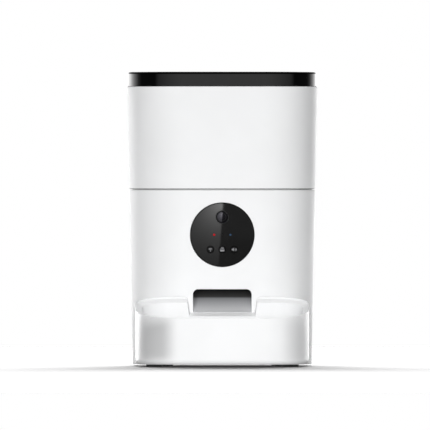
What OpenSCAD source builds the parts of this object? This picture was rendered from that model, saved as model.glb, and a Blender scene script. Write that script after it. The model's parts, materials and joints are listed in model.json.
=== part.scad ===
// Automatic pet feeder with a camera panel, a lift-off hopper and a pull-out tray.
// Millimetres, Z up, the front faces -Y, the floor is Z = 0, the origin is under the middle.

/* [Body] */
// Width and depth of the body at its underside
body_w = 179; // [172:0.5:186]
// Width and depth of the body at the lid
top_w = 190.5; // [187:0.5:198]
// Corner radius of the body at its underside
corner_r = 50; // [46:0.5:51]
// Height of the base shell
base_h = 174.7; // [172:0.1:182]
// Height of the hopper wall
hopper_h = 102.5; // [90:0.5:130]
// Height of the lid above the hopper
lid_h = 14.6; // [12:0.1:18]
// Wall of the base shell, the hopper and the lid
wall = 2.6; // [2.2:0.1:3]
// Shadow gap between base and hopper
seam_gap = 1; // [0.6:0.1:1.4]
// Rounding of the upper edge of the lid
lid_edge = 2; // [1:0.1:3]
// Clearance of pieces that lift or slide off
slide_gap = 0.4; // [0.3:0.05:0.6]
// Clearance round pieces that are fixed
fit_gap = 0.15; // [0.1:0.01:0.2]
// Radial clearance of pieces that turn
run_gap = 0.05; // [0.03:0.01:0.08]

/* [Feet and floor] */
// Height of the body above the floor
foot_h = 2; // [1.5:0.1:3]
// Diameter of a rubber foot
foot_d = 17; // [14:0.5:20]
// Distance of the base feet from the sides of the body
foot_pos = 31.5; // [28.5:0.5:35.5]
// Thickness of the bottom cover
floor_t = 3; // [2.6:0.1:3.6]
// Radius of the screw columns in the corners
column_r = 4.5; // [4:0.1:5]

/* [Tray] */
// Inset of the tray from the sides of the body
tray_in = 3; // [1:0.5:9]
// Reach of the tray in front of the body
tray_len = 118; // [112:0.5:130]
// Height of the tray rim at the body
tray_back_z = 68; // [65:0.5:72]
// Height of the tray rim at the front
tray_front_z = 48.8; // [44:0.2:52]
// Corner radius of the tray at the front
tray_front_r = 45; // [38:0.5:50]
// Corner radius of the tray at the body
tray_back_r = 35; // [28:0.5:40]
// Width of the sloping rim of the tray
rim_w = 3.6; // [2.5:0.1:5]
// Height of the sloping rim of the tray
rim_drop = 4.4; // [3:0.1:5]
// Half width of the notch in the rear wall of the tray
notch_half = 36; // [34:0.2:40]
// Height of the sill of the notch
notch_z = 53.2; // [52:0.1:53.4]
// Height of the floor of the tray
bowl_z = 12; // [10:0.5:16]

/* [Chute] */
// Width of the mouth
mouth_w = 58.5; // [50:0.5:60]
// Height of the mouth
mouth_h = 23.4; // [20:0.2:26]
// Height of the sill of the mouth above the floor
mouth_z = 53.8; // [53.8:0.1:58]
// Radius of the upper corners of the mouth
mouth_r = 5; // [3:0.5:8]
// Wall of the chute
chute_wall = 2.2; // [1.8:0.1:2.6]
// Depth of the shallow part of the chute behind the front
knee_in = 32; // [28:0.5:36]
// Rise of the shallow part of the chute
knee_rise = 15; // [13:0.5:17]

/* [Dispenser] */
// Inside radius of the rotor cup
cup_r = 50; // [47:0.5:51]
// Wall of the rotor cup
cup_wall = 4; // [3.4:0.1:4.4]
// Depth of the deck below the top of the base
deck_drop = 25.7; // [24:0.1:27]
// Thickness of the deck
deck_t = 3; // [2.5:0.1:4]
// Depth of the rotor cup below the deck
cup_depth = 36; // [34:0.5:38]
// Number of pockets in the rotor
pockets = 6; // [5:1:8]
// Thickness of a rotor blade
blade_t = 3; // [2:0.1:4]
// Radius of the rotor hub
hub_r = 12; // [11:0.5:14]
// Opening angle of the outlet under the rotor
outlet_angle = 68; // [60:1:70]
// Inside radius of the spigot under the hopper
spigot_r = 46; // [42:0.5:46]
// Height of the funnel above the foot of the hopper wall
funnel_h = 28; // [24:1:40]

/* [Gear train] */
// Module of the gears
gear_module = 0.6; // [0.55:0.01:0.62]
// Teeth of the motor pinion and of the small idler wheel
pinion_teeth = 17; // [17:1:19]
// Teeth of the large idler wheel and of the output wheel
wheel_teeth = 51; // [48:1:54]
// Width of a gear
gear_face = 5; // [4:0.2:6]
// Backlash of a mesh
backlash = 0.14; // [0.1:0.01:0.2]
// Wall of the gearbox
case_wall = 1.8; // [1.6:0.1:2.2]
// Radius of the output shaft
shaft_r = 4; // [3.5:0.1:4.5]
// Radius of the idler pin
pin_r = 1.5; // [1.3:0.1:1.6]
// Radius of the motor
motor_r = 12.2; // [11:0.1:12.5]
// Length of the motor
motor_len = 28; // [24:0.5:30]

/* [Front panel] */
// Diameter of the round panel
panel_d = 64.3; // [60:0.1:66]
// Height of the middle of the panel above the floor
panel_z = 131.7; // [131:0.1:133]
// Thickness of the panel
panel_t = 2; // [1.8:0.1:2.2]
// Height of the panel above the front of the body
panel_proud = 0.3; // [0:0.1:0.5]
// Diameter of the lens bezel
lens_d = 13.2; // [12:0.1:14]
// Height of the lens above the middle of the panel
lens_up = 17.6; // [16.5:0.1:18]
// Distance of the status lights from the middle
light_pos = 8.1; // [7:0.1:9]
// Diameter of a status light
light_d = 2.2; // [1.8:0.1:2.4]
// Diameter of a button
button_d = 7.4; // [6.6:0.1:8]
// Distance between two buttons
button_pitch = 11.9; // [11.4:0.1:12.6]
// Distance of the buttons below the middle of the panel
button_down = 14.8; // [14:0.1:16]
// Travel of a button
button_travel = 0.4; // [0.3:0.05:0.45]

/* [Electrics] */
// Width of the battery bay
bay_w = 104; // [96:1:106]
// Depth of the battery bay
bay_d = 62; // [58:0.5:64]
// Height of the battery bay
bay_h = 34; // [32:0.5:35]
// Height of the power socket above the floor
socket_z = 28; // [26:0.5:34]
// Radius of the speaker
speaker_r = 15; // [12:0.5:16]

/* [Hidden] */
shell_fn = 64;
$fn = 48;

// Levels of the body
z_bottom = foot_h;
z_seam = z_bottom + base_h;
z_hopper = z_seam + seam_gap;
z_rim = z_hopper + hopper_h;
z_top = z_rim + lid_h;
draft = (top_w - body_w) / 2 / (z_rim - z_bottom);
draft_deg = atan(draft);
corner_c = body_w / 2 - corner_r;

// Half the width of the body at a height, constant above the hopper
function half_w(z) = body_w / 2 + draft * (min(z, z_rim) - z_bottom);

// Levels of the dispenser
z_deck = z_seam - deck_drop;
z_plate = z_deck - deck_t;
z_cup = z_deck - deck_t - cup_depth;
cup_floor = 3;
z_step = z_deck - 7;
step_w = 1.5;
rotor_z = z_cup + 1;
rotor_top = z_step - 2;
rotor_r = cup_r - 1.5;

// Gear train below the cup
wheel_r = gear_module * wheel_teeth / 2;
pinion_r = gear_module * pinion_teeth / 2;
gear_dist = wheel_r + pinion_r;
case_r = wheel_r + gear_module + 0.9 + case_wall;
cover_t = 2.5;
z_case_top = z_cup - cup_floor;
z_cover = z_case_top - cover_t;
z_out = z_cover - 1 - gear_face;
z_idle = z_out - 1 - gear_face;
z_case_in = z_idle - 1.2;
z_case = z_case_in - 2.5;
motor_y = 2 * gear_dist;
case_end = motor_y + pinion_r + gear_module + 0.9 + case_wall;
ear_x = case_r + 2.6;
ear_y = [gear_dist * 0.35, gear_dist * 1.65];

// Outlet and chute
outlet_in = case_r + chute_wall * 1.5 + 1;
outlet_out = cup_r - 2;
pad_x = mouth_w / 2 + chute_wall + 9;
pad_mid = (outlet_in + outlet_out) / 2;

// Corner columns of the base
column_pos = corner_c + (corner_r - wall - column_r - 1) * cos(45);
feet_c = body_w / 2 - foot_pos;
screw_r = 1.5;

// Panel stack, depths measured inwards from the front of the body
panel_back = panel_t - panel_proud;
flange_d = wall + 0.2;
web_d = panel_back + 1.9;
board_d = flange_d + 3.2;
board_t = 1.6;
flange_r = panel_d / 2 + 6;
boss_pos = (panel_d / 2 + 3.4) * cos(45);
board_r = panel_d / 2 - 3.2;
lens_r = lens_d / 2;

// Tray
tray_w = body_w - 2 * tray_in;
tray_y = -half_w(tray_back_z) - slide_gap;
tray_front = tray_y - tray_len;
tray_slope = (tray_back_z - tray_front_z) / tray_len;
tray_tilt = atan(tray_slope);
tongue_w = 56;
tongue_len = 12;
tongue_t = 2;

// The body stands so that the whole object is centred over the origin
body_y = (-tray_front - half_w(z_rim)) / 2;

module placed() {
    translate([0, body_y, 0]) children();
}

// Four corner cones of the body between two levels
module corner_cones(za, zb, inset = 0) {
    for (sx = [-1, 1], sy = [-1, 1])
        translate([sx * corner_c, sy * corner_c, za])
            cylinder(r1 = half_w(za) - corner_c - inset, r2 = half_w(zb) - corner_c - inset,
                h = zb - za, $fn = shell_fn);
}

// Rounded square block with the draft of the body between two levels
module drafted(za, zb, inset = 0) {
    hull() corner_cones(za, zb, inset);
}

// Ring of positions in the four corners
module corners(p) {
    for (sx = [-1, 1], sy = [-1, 1])
        translate([sx * p, sy * p, 0]) children();
}

// Frame on the front of the body: local Z points inwards, local Y points down
module on_panel() {
    translate([0, -half_w(panel_z), panel_z])
        rotate([draft_deg, 0, 0])
            rotate([-90, 0, 0]) children();
}

// Disc or plug in the panel frame between two depths
module plug(r, da, db, x = 0, y = 0) {
    translate([x, y, da]) cylinder(r = r, h = db - da);
}

// Screw with a flat head under its shank, pointing up
module screw(len, head_r = 2.9, head_h = 1.8, r = screw_r) {
    cylinder(r = r, h = len);
    translate([0, 0, -head_h])
        cylinder(r = head_r, h = head_h);
}

// Involute gear outline
function roll(a) = tan(a) * 180 / PI - a;
function flank(n, r, rb) =
    90 / n - backlash / 2 / (gear_module * n / 2) * 180 / PI
    + roll(20) - roll(r > rb ? acos(rb / r) : 0);
function tooth_radii(n) =
    let (p = gear_module * n / 2, rb = p * cos(20), root = p - 1.25 * gear_module)
    root < rb ? [root, rb, p, p + gear_module] : [root, (root + p) / 2, p, p + gear_module];
function tooth(n, i) =
    let (rb = gear_module * n / 2 * cos(20), q = tooth_radii(n), a = 360 / n * i)
    concat(
        [for (r = q) let (h = a - flank(n, r, rb)) [r * cos(h), r * sin(h)]],
        [for (k = [3:-1:0]) let (h = a + flank(n, q[k], rb)) [q[k] * cos(h), q[k] * sin(h)]]);
module gear(n, h) {
    linear_extrude(height = h)
        polygon([for (i = [0:n - 1]) each tooth(n, i)]);
}

// Lid with its plug and a clip ring for the desiccant cup
plug_h = 10;
plug_gap = 1.3;
plug_wall = 2;

// Block of the plug, which leans with the hopper wall below the rim
module lid_plug(inset) {
    hull() {
        corner_cones(z_rim - plug_h, z_rim, inset);
        corner_cones(z_rim, z_top - wall + 0.5, inset);
    }
}

module lid() {
    color("#101012") placed() {
        difference() {
            hull() {
                corner_cones(z_rim, z_top - lid_edge);
                corner_cones(z_rim + 1, z_top, lid_edge * 0.7);
            }
            drafted(z_rim - 1, z_top - wall, wall);
        }
        difference() {
            lid_plug(wall + plug_gap);
            drafted(z_rim - plug_h - 1, z_top - wall + 1, wall + plug_gap + plug_wall);
        }
        difference() {
            translate([0, 0, z_rim])
                cylinder(r = 31, h = z_top - wall + 0.5 - z_rim);
            translate([0, 0, z_rim - 1])
                cylinder(r = 29, h = z_top - wall + 1 - z_rim);
        }
    }
}

// Band round the plug, just clear of the hopper wall
seal_gap = 0.3;
seal_fit = 0.05;
module lid_seal() {
    color("#d9dadb") placed() difference() {
        drafted(z_rim - 8, z_rim - 5, wall + seal_gap);
        lid_plug(wall + plug_gap - seal_fit);
    }
}

// Round cup with vent holes that holds a desiccant bag under the lid
cup_slots = 10;
module desiccant_cup() {
    color("#e8e9ea") placed() difference() {
        translate([0, 0, z_rim - 9])
            cylinder(r = 29 - fit_gap, h = 9 + 6);
        translate([0, 0, z_rim - 7])
            cylinder(r = 27, h = 20);
        for (i = [0:cup_slots - 1])
            rotate(i * 360 / cup_slots)
                translate([10, -1.2, z_rim - 10]) cube([13, 2.4, 4]);
    }
}

// Hopper: tapered wall with a register lip, a funnel and a spigot on the deck
lip_h = 5;
spigot_wall = 5;
module hopper() {
    color("#f4f5f6") placed() {
        difference() {
            union() {
                drafted(z_hopper, z_rim);
                drafted(z_hopper - lip_h, z_hopper + 1, wall + slide_gap);
            }
            drafted(z_hopper + 2, z_rim + 1, wall);
            drafted(z_hopper - lip_h - 1, z_hopper + 3, wall + slide_gap + 1.6);
        }
        difference() {
            hull() {
                translate([0, 0, z_deck + 1])
                    cylinder(r = spigot_r + spigot_wall, h = 1, $fn = shell_fn);
                corner_cones(z_hopper + funnel_h - 1, z_hopper + funnel_h, wall - 1);
            }
            hull() {
                translate([0, 0, z_deck])
                    cylinder(r = spigot_r, h = 1, $fn = shell_fn);
                corner_cones(z_hopper + funnel_h, z_hopper + funnel_h + 1, wall + 0.8);
            }
        }
        difference() {
            union() {
                translate([0, 0, z_step + 3.3])
                    cylinder(r = spigot_r + spigot_wall, h = z_deck + 2.5 - z_step - 3.3);
                translate([0, 0, z_deck])
                    cylinder(r = cup_r + 8, h = 2.5);
            }
            translate([0, 0, z_step])
                cylinder(r = spigot_r, h = 20);
        }
    }
}

// Mouth of the chute with rounded upper corners, cut through the front
module mouth_shape() {
    square_h = mouth_h - mouth_r;
    translate([-mouth_w / 2, 0]) square([mouth_w, square_h]);
    translate([-mouth_w / 2 + mouth_r, 0]) square([mouth_w - 2 * mouth_r, mouth_h]);
    for (s = [-1, 1])
        translate([s * (mouth_w / 2 - mouth_r), square_h]) circle(r = mouth_r);
}

// Rib that ties a corner column to the drafted corner of the wall
module column_rib() {
    za = z_bottom + floor_t;
    inner = (column_pos - corner_c) / cos(45);
    translate([corner_c, corner_c, 0])
        rotate([0, 0, 45])
            translate([0, 1.5, 0])
                rotate([90, 0, 0])
                    linear_extrude(height = 3)
                        polygon([[inner, za], [half_w(za) - corner_c - wall / 2, za],
                            [half_w(z_plate) - corner_c - wall / 2, z_plate], [inner, z_plate]]);
}

module base_shell() {
    color("#f4f5f6") placed() difference() {
        union() {
            difference() {
                drafted(z_bottom, z_seam);
                drafted(z_bottom - 1, z_seam + 1, wall);
            }
            corners(column_pos)
                translate([0, 0, z_bottom + floor_t])
                    cylinder(r = column_r, h = z_plate - z_bottom - floor_t);
            for (a = [0:90:270])
                rotate(a) column_rib();
            on_panel()
                for (sx = [-1, 1], sy = [-1, 1])
                    plug(2.2, wall - 0.6, board_d, sx * boss_pos, sy * boss_pos);
        }
        corners(column_pos) {
            translate([0, 0, z_bottom + floor_t - 1])
                cylinder(r = screw_r + 0.05, h = 14);
            translate([0, 0, z_plate - 14])
                cylinder(r = screw_r + 0.05, h = 15);
        }
        on_panel() {
            plug(panel_d / 2 + fit_gap, -5, wall + 1);
            for (sx = [-1, 1], sy = [-1, 1])
                plug(1.05, wall + 0.4, board_d + 1, sx * boss_pos, sy * boss_pos);
        }
        translate([0, -half_w(z_bottom) + wall + 3, mouth_z])
            rotate([90, 0, 0])
                linear_extrude(height = 20) mouth_shape();
        translate([0, half_w(socket_z) - 10, socket_z])
            rotate([-90, 0, 0])
                cylinder(r = 5.4 + fit_gap, h = 20);
        translate([-tongue_w / 2 - slide_gap, -half_w(z_bottom) - 5, z_bottom - 1])
            cube([tongue_w + 2 * slide_gap, 5 + wall + 3, 1 + tongue_t + 0.4 + slide_gap]);
    }
}

// Bottom cover with the battery bay, posts for the board and the speaker grille
bay_y = 6;
bay_wall = 2;
cover_ledge = 3;
cover_plate = 1.4;
tab_x = bay_w / 2 - 12;
tab_y = bay_y - bay_d / 2 - cover_ledge - 3;
tab_r = 5;
board_margin = 11.9;
board_y = [bay_y + bay_d / 2 + bay_wall + 8, body_w / 2 - wall - board_margin];
board_x = 34;
post_h = 5;
speaker_y = -48;
module base_floor() {
    zf = z_bottom + floor_t;
    color("#d7d9db") placed() difference() {
        union() {
            drafted(z_bottom, zf, wall + fit_gap);
            translate([-bay_w / 2 - bay_wall, bay_y - bay_d / 2 - bay_wall, z_bottom + 1])
                cube([bay_w + 2 * bay_wall, bay_d + 2 * bay_wall, bay_h + bay_wall + floor_t - 1]);
            for (sx = [-1, 1], y = board_y)
                translate([sx * board_x, y, zf - 1]) cylinder(r = 3, h = post_h + 1);
            for (sx = [-1, 1])
                translate([sx * tab_x, tab_y, zf - 1]) cylinder(r = 4, h = 7);
        }
        translate([-bay_w / 2, bay_y - bay_d / 2, z_bottom - 1])
            cube([bay_w, bay_d, bay_h + floor_t + 1]);
        translate([-bay_w / 2 - cover_ledge, bay_y - bay_d / 2 - cover_ledge, z_bottom - 1])
            cube([bay_w + 2 * cover_ledge, bay_d + 2 * cover_ledge, 1 + 0.2 + cover_plate]);
        for (sx = [-1, 1]) {
            translate([sx * tab_x, tab_y, z_bottom - 1])
                cylinder(r = tab_r + 0.3, h = 1 + 0.2 + cover_plate);
            translate([sx * tab_x, tab_y, z_bottom - 1])
                cylinder(r = screw_r + 0.05, h = floor_t + 5);
        }
        corners(column_pos) {
            translate([0, 0, z_bottom - 1])
                cylinder(r = screw_r + 0.3, h = floor_t + 2);
            translate([0, 0, z_bottom - 1])
                cylinder(r = 3.3, h = 1 + floor_t - 1);
        }
        corners(feet_c)
            translate([0, 0, z_bottom - 1])
                cylinder(r = foot_d / 2 + fit_gap, h = 2);
        translate([-tongue_w / 2 - slide_gap, -half_w(z_bottom), z_bottom - 1])
            cube([tongue_w + 2 * slide_gap, tongue_len + 2, floor_t + 2]);
        for (i = [-2:2])
            translate([i * 4 - 0.9, speaker_y - 8, z_bottom - 1])
                cube([1.8, 16, floor_t + 2]);
        for (sx = [-1, 1], y = board_y)
            translate([sx * board_x, y, zf + 1]) cylinder(r = 1.05, h = 10);
    }
}

module base_feet() {
    color("#26262a") placed()
        corners(feet_c)
            cylinder(r = foot_d / 2, h = foot_h + 1);
}

module floor_screws() {
    color("#9a9ca0") placed()
        corners(column_pos)
            translate([0, 0, z_bottom + floor_t - 1])
                screw(12);
}

module battery_cover() {
    w = bay_w + 2 * cover_ledge - 0.6;
    d = bay_d + 2 * cover_ledge - 0.6;
    color("#d7d9db") placed() difference() {
        union() {
            translate([-w / 2, bay_y - d / 2, z_bottom + 0.2]) cube([w, d, cover_plate]);
            for (sx = [-1, 1])
                translate([sx * tab_x, tab_y, z_bottom + 0.2]) cylinder(r = tab_r, h = cover_plate);
        }
        for (sx = [-1, 1])
            translate([sx * tab_x, tab_y, z_bottom - 1]) cylinder(r = screw_r + 0.2, h = 5);
        for (i = [-2:2])
            translate([i * 5 - 1, bay_y + d / 2 - 16, z_bottom]) cube([2, 9, 0.8]);
    }
}

module battery_screws() {
    color("#9a9ca0") placed()
        for (sx = [-1, 1])
            translate([sx * tab_x, tab_y, z_bottom + 0.2])
                screw(floor_t + 2, 2.8, 1.2);
}

// Contact plates at both ends of three cells
module battery_contacts() {
    pitch = bay_w / 3;
    z = z_bottom + floor_t + bay_h / 2 - 2;
    color("#b9b6ac") placed()
        for (i = [-1:1], s = [-1, 1]) {
            translate([i * pitch - 9, bay_y + s * (bay_d / 2 - 0.35) - 0.3, z - 8]) cube([18, 0.6, 16]);
            translate([i * pitch, bay_y + s * (bay_d / 2 - 0.6), z])
                rotate([s * 90, 0, 0])
                    cylinder(r1 = 6, r2 = 4, h = s > 0 ? 1.2 : 4);
        }
}

// Deck with the rotor cup and the outlet
module dispenser_deck() {
    color("#e3e5e7") placed() difference() {
        union() {
            difference() {
                drafted(z_plate, z_deck, wall + 0.5);
                translate([-corner_c - 2, -half_w(z_deck) - 1, z_plate - 1])
                    cube([2 * corner_c + 4, half_w(z_deck) - cup_r - cup_wall - 6, deck_t + 2]);
            }
            translate([0, 0, z_cup - cup_floor])
                cylinder(r = cup_r + cup_wall, h = z_deck - z_cup + cup_floor);
            translate([-pad_x, -outlet_out - chute_wall * 1.6, z_cup - cup_floor])
                cube([2 * pad_x, outlet_out - outlet_in + chute_wall * 3, cup_floor]);
        }
        translate([0, 0, z_cup])
            cylinder(r = cup_r, h = z_deck);
        translate([0, 0, z_step])
            cylinder(r = cup_r + step_w, h = z_deck);
        translate([0, 0, z_cup - cup_floor - 1])
            rotate(270 - outlet_angle / 2)
                rotate_extrude(angle = outlet_angle)
                    translate([outlet_in, 0]) square([outlet_out - outlet_in, cup_floor + 2]);
        translate([0, 0, z_cup - cup_floor - 1])
            cylinder(r = shaft_r + 2.5 + fit_gap, h = cup_floor + 2);
        corners(column_pos)
            translate([0, 0, z_plate - 1])
                cylinder(r = screw_r + 0.3, h = deck_t + 2);
        for (sx = [-1, 1]) {
            translate([sx * (pad_x - 4), -pad_mid, z_cup - cup_floor - 1])
                cylinder(r = screw_r + 0.05, h = 3.5);
            for (y = ear_y)
                translate([sx * ear_x, y, z_cup - cup_floor - 1])
                    cylinder(r = screw_r + 0.05, h = 3.2);
        }
    }
}

module deck_screws() {
    color("#9a9ca0") placed()
        corners(column_pos)
            translate([0, 0, z_deck])
                mirror([0, 0, 1]) screw(deck_t + 10);
}

// Sector plate that keeps feed from falling straight through the outlet
module portion_baffle() {
    color("#c9ccd0") placed()
        translate([0, 0, z_step])
            rotate(270 - outlet_angle / 2 - 5)
                rotate_extrude(angle = outlet_angle + 10)
                    translate([hub_r + 4, 0]) square([cup_r + step_w - 0.3 - hub_r - 4, 3]);
}

// Chute from the outlet to the mouth, its floor shallow at the front and steep behind
module chute_shape() {
    yf = -half_w(mouth_z);
    polygon([[-outlet_in, z_case_top + 6], [-outlet_in, z_case_top],
        [yf + knee_in, mouth_z + knee_rise], [yf + wall, mouth_z], [yf - 6, mouth_z],
        [yf - 6, mouth_z + mouth_h], [yf + wall + 1, mouth_z + mouth_h],
        [-outlet_out, z_case_top], [-outlet_out, z_case_top + 6]]);
}

module chute() {
    w = mouth_w + 2 * chute_wall;
    yb = -half_w(mouth_z) + wall + 0.5;
    color("#eceef0") placed() {
        difference() {
            intersection() {
                translate([-w / 2, 0, 0])
                    rotate([90, 0, 90])
                        linear_extrude(height = w)
                            offset(delta = chute_wall) chute_shape();
                translate([-w, yb, mouth_z - 10])
                    cube([2 * w, -yb, z_case_top - mouth_z + 10]);
            }
            translate([-mouth_w / 2, 0, 0])
                rotate([90, 0, 90])
                    linear_extrude(height = mouth_w) chute_shape();
        }
        for (s = [-1, 1])
            difference() {
                translate([s * (pad_x - 5) - 5, -pad_mid - 5, z_case_top - 2.2])
                    cube([10, 10, 2.2]);
                translate([s * (pad_x - 4), -pad_mid, z_case_top - 5])
                    cylinder(r = screw_r + 0.3, h = 8);
            }
    }
}

module chute_screws() {
    color("#9a9ca0") placed()
        for (s = [-1, 1])
            translate([s * (pad_x - 4), -pad_mid, z_case_top - 2.2])
                screw(4.4);
}

// Outline of the gearbox, grown or shrunk
module case_shape(grow = 0) {
    hull() {
        circle(r = case_r + grow);
        translate([0, gear_dist]) circle(r = case_r + grow);
        translate([0, case_end - 8]) circle(r = 8 + grow);
    }
}

module gearbox_case() {
    color("#c4c7ca") placed() difference() {
        union() {
            translate([0, 0, z_case])
                linear_extrude(height = z_cover - z_case) case_shape();
            for (sx = [-1, 1], y = ear_y)
                translate([sx * ear_x, y, z_case]) cylinder(r = 3.6, h = z_cover - z_case);
        }
        translate([0, 0, z_case_in])
            linear_extrude(height = z_cover) case_shape(-case_wall);
        translate([0, 0, z_case + 0.6])
            cylinder(r = 3 + run_gap, h = 5);
        translate([0, gear_dist, z_case + 0.6])
            cylinder(r = pin_r + 0.02, h = 5);
        translate([0, motor_y, z_case - 1])
            cylinder(r = 3.1, h = 6);
        for (sx = [-1, 1], y = ear_y)
            translate([sx * ear_x, y, z_case - 1]) cylinder(r = screw_r + 0.2, h = 40);
    }
}

module gearbox_cover() {
    color("#c4c7ca") placed() difference() {
        union() {
            translate([0, 0, z_cover])
                linear_extrude(height = cover_t) case_shape();
            for (sx = [-1, 1], y = ear_y)
                translate([sx * ear_x, y, z_cover]) cylinder(r = 3.6, h = cover_t);
        }
        translate([0, 0, z_cover - 1])
            cylinder(r = shaft_r + 2.5 + fit_gap, h = 10);
        translate([0, gear_dist, z_cover - 1])
            cylinder(r = pin_r + 0.02, h = 3);
        for (sx = [-1, 1], y = ear_y)
            translate([sx * ear_x, y, z_cover - 1]) cylinder(r = screw_r + 0.2, h = 10);
    }
}

module gearbox_screws() {
    color("#9a9ca0") placed()
        for (sx = [-1, 1], y = ear_y)
            translate([sx * ear_x, y, z_case])
                screw(z_case_top - z_case + 2);
}

module idler_pin() {
    color("#b8bbc0") placed()
        translate([0, gear_dist, z_case + 0.7])
            cylinder(r = pin_r, h = z_cover + 1.9 - z_case - 0.7);
}

module output_bush() {
    color("#a78a4d") placed()
        translate([0, 0, z_cover])
            difference() {
                cylinder(r = shaft_r + 2.5, h = cover_t + cup_floor);
                translate([0, 0, -1])
                    cylinder(r = shaft_r + run_gap, h = cover_t + cup_floor + 2);
            }
}

module motor_can() {
    color("#c0c2c6") placed()
        translate([0, motor_y, z_case]) difference() {
            union() {
                translate([0, 0, -motor_len]) cylinder(r = motor_r, h = motor_len);
                cylinder(r = 3, h = 1.4);
            }
            translate([0, 0, -8]) cylinder(r = 1 + run_gap, h = 20);
        }
}

module motor_cap() {
    color("#2c2d30") placed()
        translate([0, motor_y, z_case - motor_len]) {
            translate([0, 0, -2.4]) cylinder(r = motor_r - 1, h = 2.4);
            for (s = [-1, 1])
                translate([s * 6 - 1, -0.3, -6]) cube([2, 0.6, 5]);
        }
}

module motor_shaft() {
    color("#d0d2d6") placed()
        translate([0, motor_y, z_case - 7.5])
            cylinder(r = 1, h = z_idle + gear_face + 1 - z_case + 7.5);
}

module motor_pinion() {
    color("#e9e4d2") placed()
        translate([0, motor_y, z_idle - 0.4])
            rotate(270 - 180 / pinion_teeth)
                difference() {
                    gear(pinion_teeth, gear_face + 0.6);
                    translate([0, 0, -1]) cylinder(r = 1.02, h = gear_face + 4);
                }
}

// Compound wheel: large gear below, small gear above
module idler_gear() {
    color("#e9e4d2") placed()
        translate([0, gear_dist, 0]) difference() {
            union() {
                translate([0, 0, z_idle]) rotate(90) gear(wheel_teeth, gear_face);
                translate([0, 0, z_idle + gear_face - 0.5])
                    cylinder(r = pinion_r - 1.4 * gear_module, h = z_cover - 0.3 - z_idle - gear_face + 0.5);
                translate([0, 0, z_out - 0.4])
                    rotate(270 - 180 / pinion_teeth) gear(pinion_teeth, gear_face + 0.6);
                translate([0, 0, z_case_in + 0.3])
                    cylinder(r = pin_r + 1.6, h = z_idle - z_case_in);
            }
            translate([0, 0, z_case]) cylinder(r = pin_r + run_gap, h = 40);
        }
}

module output_gear() {
    color("#e9e4d2") placed() difference() {
        translate([0, 0, z_out]) rotate(90) gear(wheel_teeth, gear_face);
        translate([0, 0, z_out - 1]) cylinder(r = shaft_r + 0.02, h = gear_face + 2);
    }
}

// Shaft with a lower journal and a flatted top that drives the hub
module output_shaft() {
    color("#d0d2d6") placed() {
        translate([0, 0, z_case + 0.7])
            cylinder(r = 3, h = z_case_in + 0.5 - z_case - 0.7);
        translate([0, 0, z_case_in + 0.4])
            cylinder(r = shaft_r, h = rotor_z - 0.5 - z_case_in - 0.4);
        difference() {
            translate([0, 0, rotor_z - 1])
                cylinder(r = shaft_r, h = rotor_top - 7 - rotor_z + 1);
            translate([shaft_r - 1.2, -10, rotor_z - 0.5])
                cube([20, 20, 40]);
        }
    }
}

module rotor_hub() {
    color("#dfe1e4") placed() difference() {
        translate([0, 0, rotor_z]) cylinder(r = hub_r, h = rotor_top - rotor_z);
        difference() {
            translate([0, 0, rotor_z - 1])
                cylinder(r = shaft_r + 0.04, h = rotor_top - 7 - rotor_z + 1.1);
            translate([shaft_r - 1.16, -10, rotor_z - 2])
                cube([20, 20, 60]);
        }
        translate([0, 0, rotor_top - 4]) cylinder(r = 4.1, h = 10);
    }
}

module rotor_blades() {
    color("#8fa3ad") placed() difference() {
        union() {
            translate([0, 0, rotor_z]) cylinder(r = hub_r + 2, h = rotor_top - rotor_z);
            for (i = [0:pockets - 1])
                rotate(i * 360 / pockets)
                    translate([hub_r + 1, -blade_t / 2, rotor_z])
                        cube([rotor_r - hub_r - 1, blade_t, rotor_top - rotor_z]);
        }
        translate([0, 0, rotor_z - 1]) cylinder(r = hub_r + 0.02, h = 60);
    }
}

// Stirrer above the hub with two leaning fingers
module agitator() {
    color("#dfe1e4") placed() {
        translate([0, 0, rotor_top - 3.8]) cylinder(r = 4, h = 5);
        translate([0, 0, rotor_top]) cylinder(r1 = hub_r - 1, r2 = hub_r - 5, h = 9);
        for (a = [0, 180])
            rotate(a)
                translate([1, 0, rotor_top + 4])
                    rotate([0, 38, 0]) {
                        cylinder(r = 2.6, h = 32);
                        translate([0, 0, 32]) sphere(r = 2.6);
                    }
    }
}

// Places of the three buttons from left to right
function button_x(i) = (i - 1) * button_pitch;

module front_panel() {
    color("#0c0c0e") placed() on_panel() difference() {
        plug(panel_d / 2, -panel_proud, panel_back);
        plug(lens_r + 0.1, -5, 10, 0, -lens_up);
        for (s = [-1, 1])
            plug(light_d / 2 + 0.1, -5, 10, s * light_pos, 0);
        plug(0.7, -5, 10);
        for (i = [0:2])
            plug(button_d / 2 + fit_gap, -5, 10, button_x(i), button_down);
    }
}

// Carrier behind the panel: a disc in the bore, a flange inside the wall and a pocket
module panel_carrier() {
    color("#1c1c1f") placed() on_panel() difference() {
        union() {
            plug(panel_d / 2, panel_back, flange_d + 0.5);
            plug(flange_r, flange_d, board_d);
        }
        plug(board_r - 3, web_d, board_d + 1);
        plug(lens_r + 0.1, -5, 10, 0, -lens_up);
        for (s = [-1, 1])
            plug(light_d / 2 + 0.1, -5, 10, s * light_pos, 0);
        plug(0.7, -5, 10);
        for (i = [0:2])
            plug(button_d / 2 + fit_gap, -5, 10, button_x(i), button_down);
        for (sx = [-1, 1], sy = [-1, 1])
            plug(2.4, -5, 20, sx * boss_pos, sy * boss_pos);
        for (a = [90:120:330])
            plug(0.85, web_d, 20, (board_r - 1.6) * cos(a), (board_r - 1.6) * sin(a));
    }
}

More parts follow.
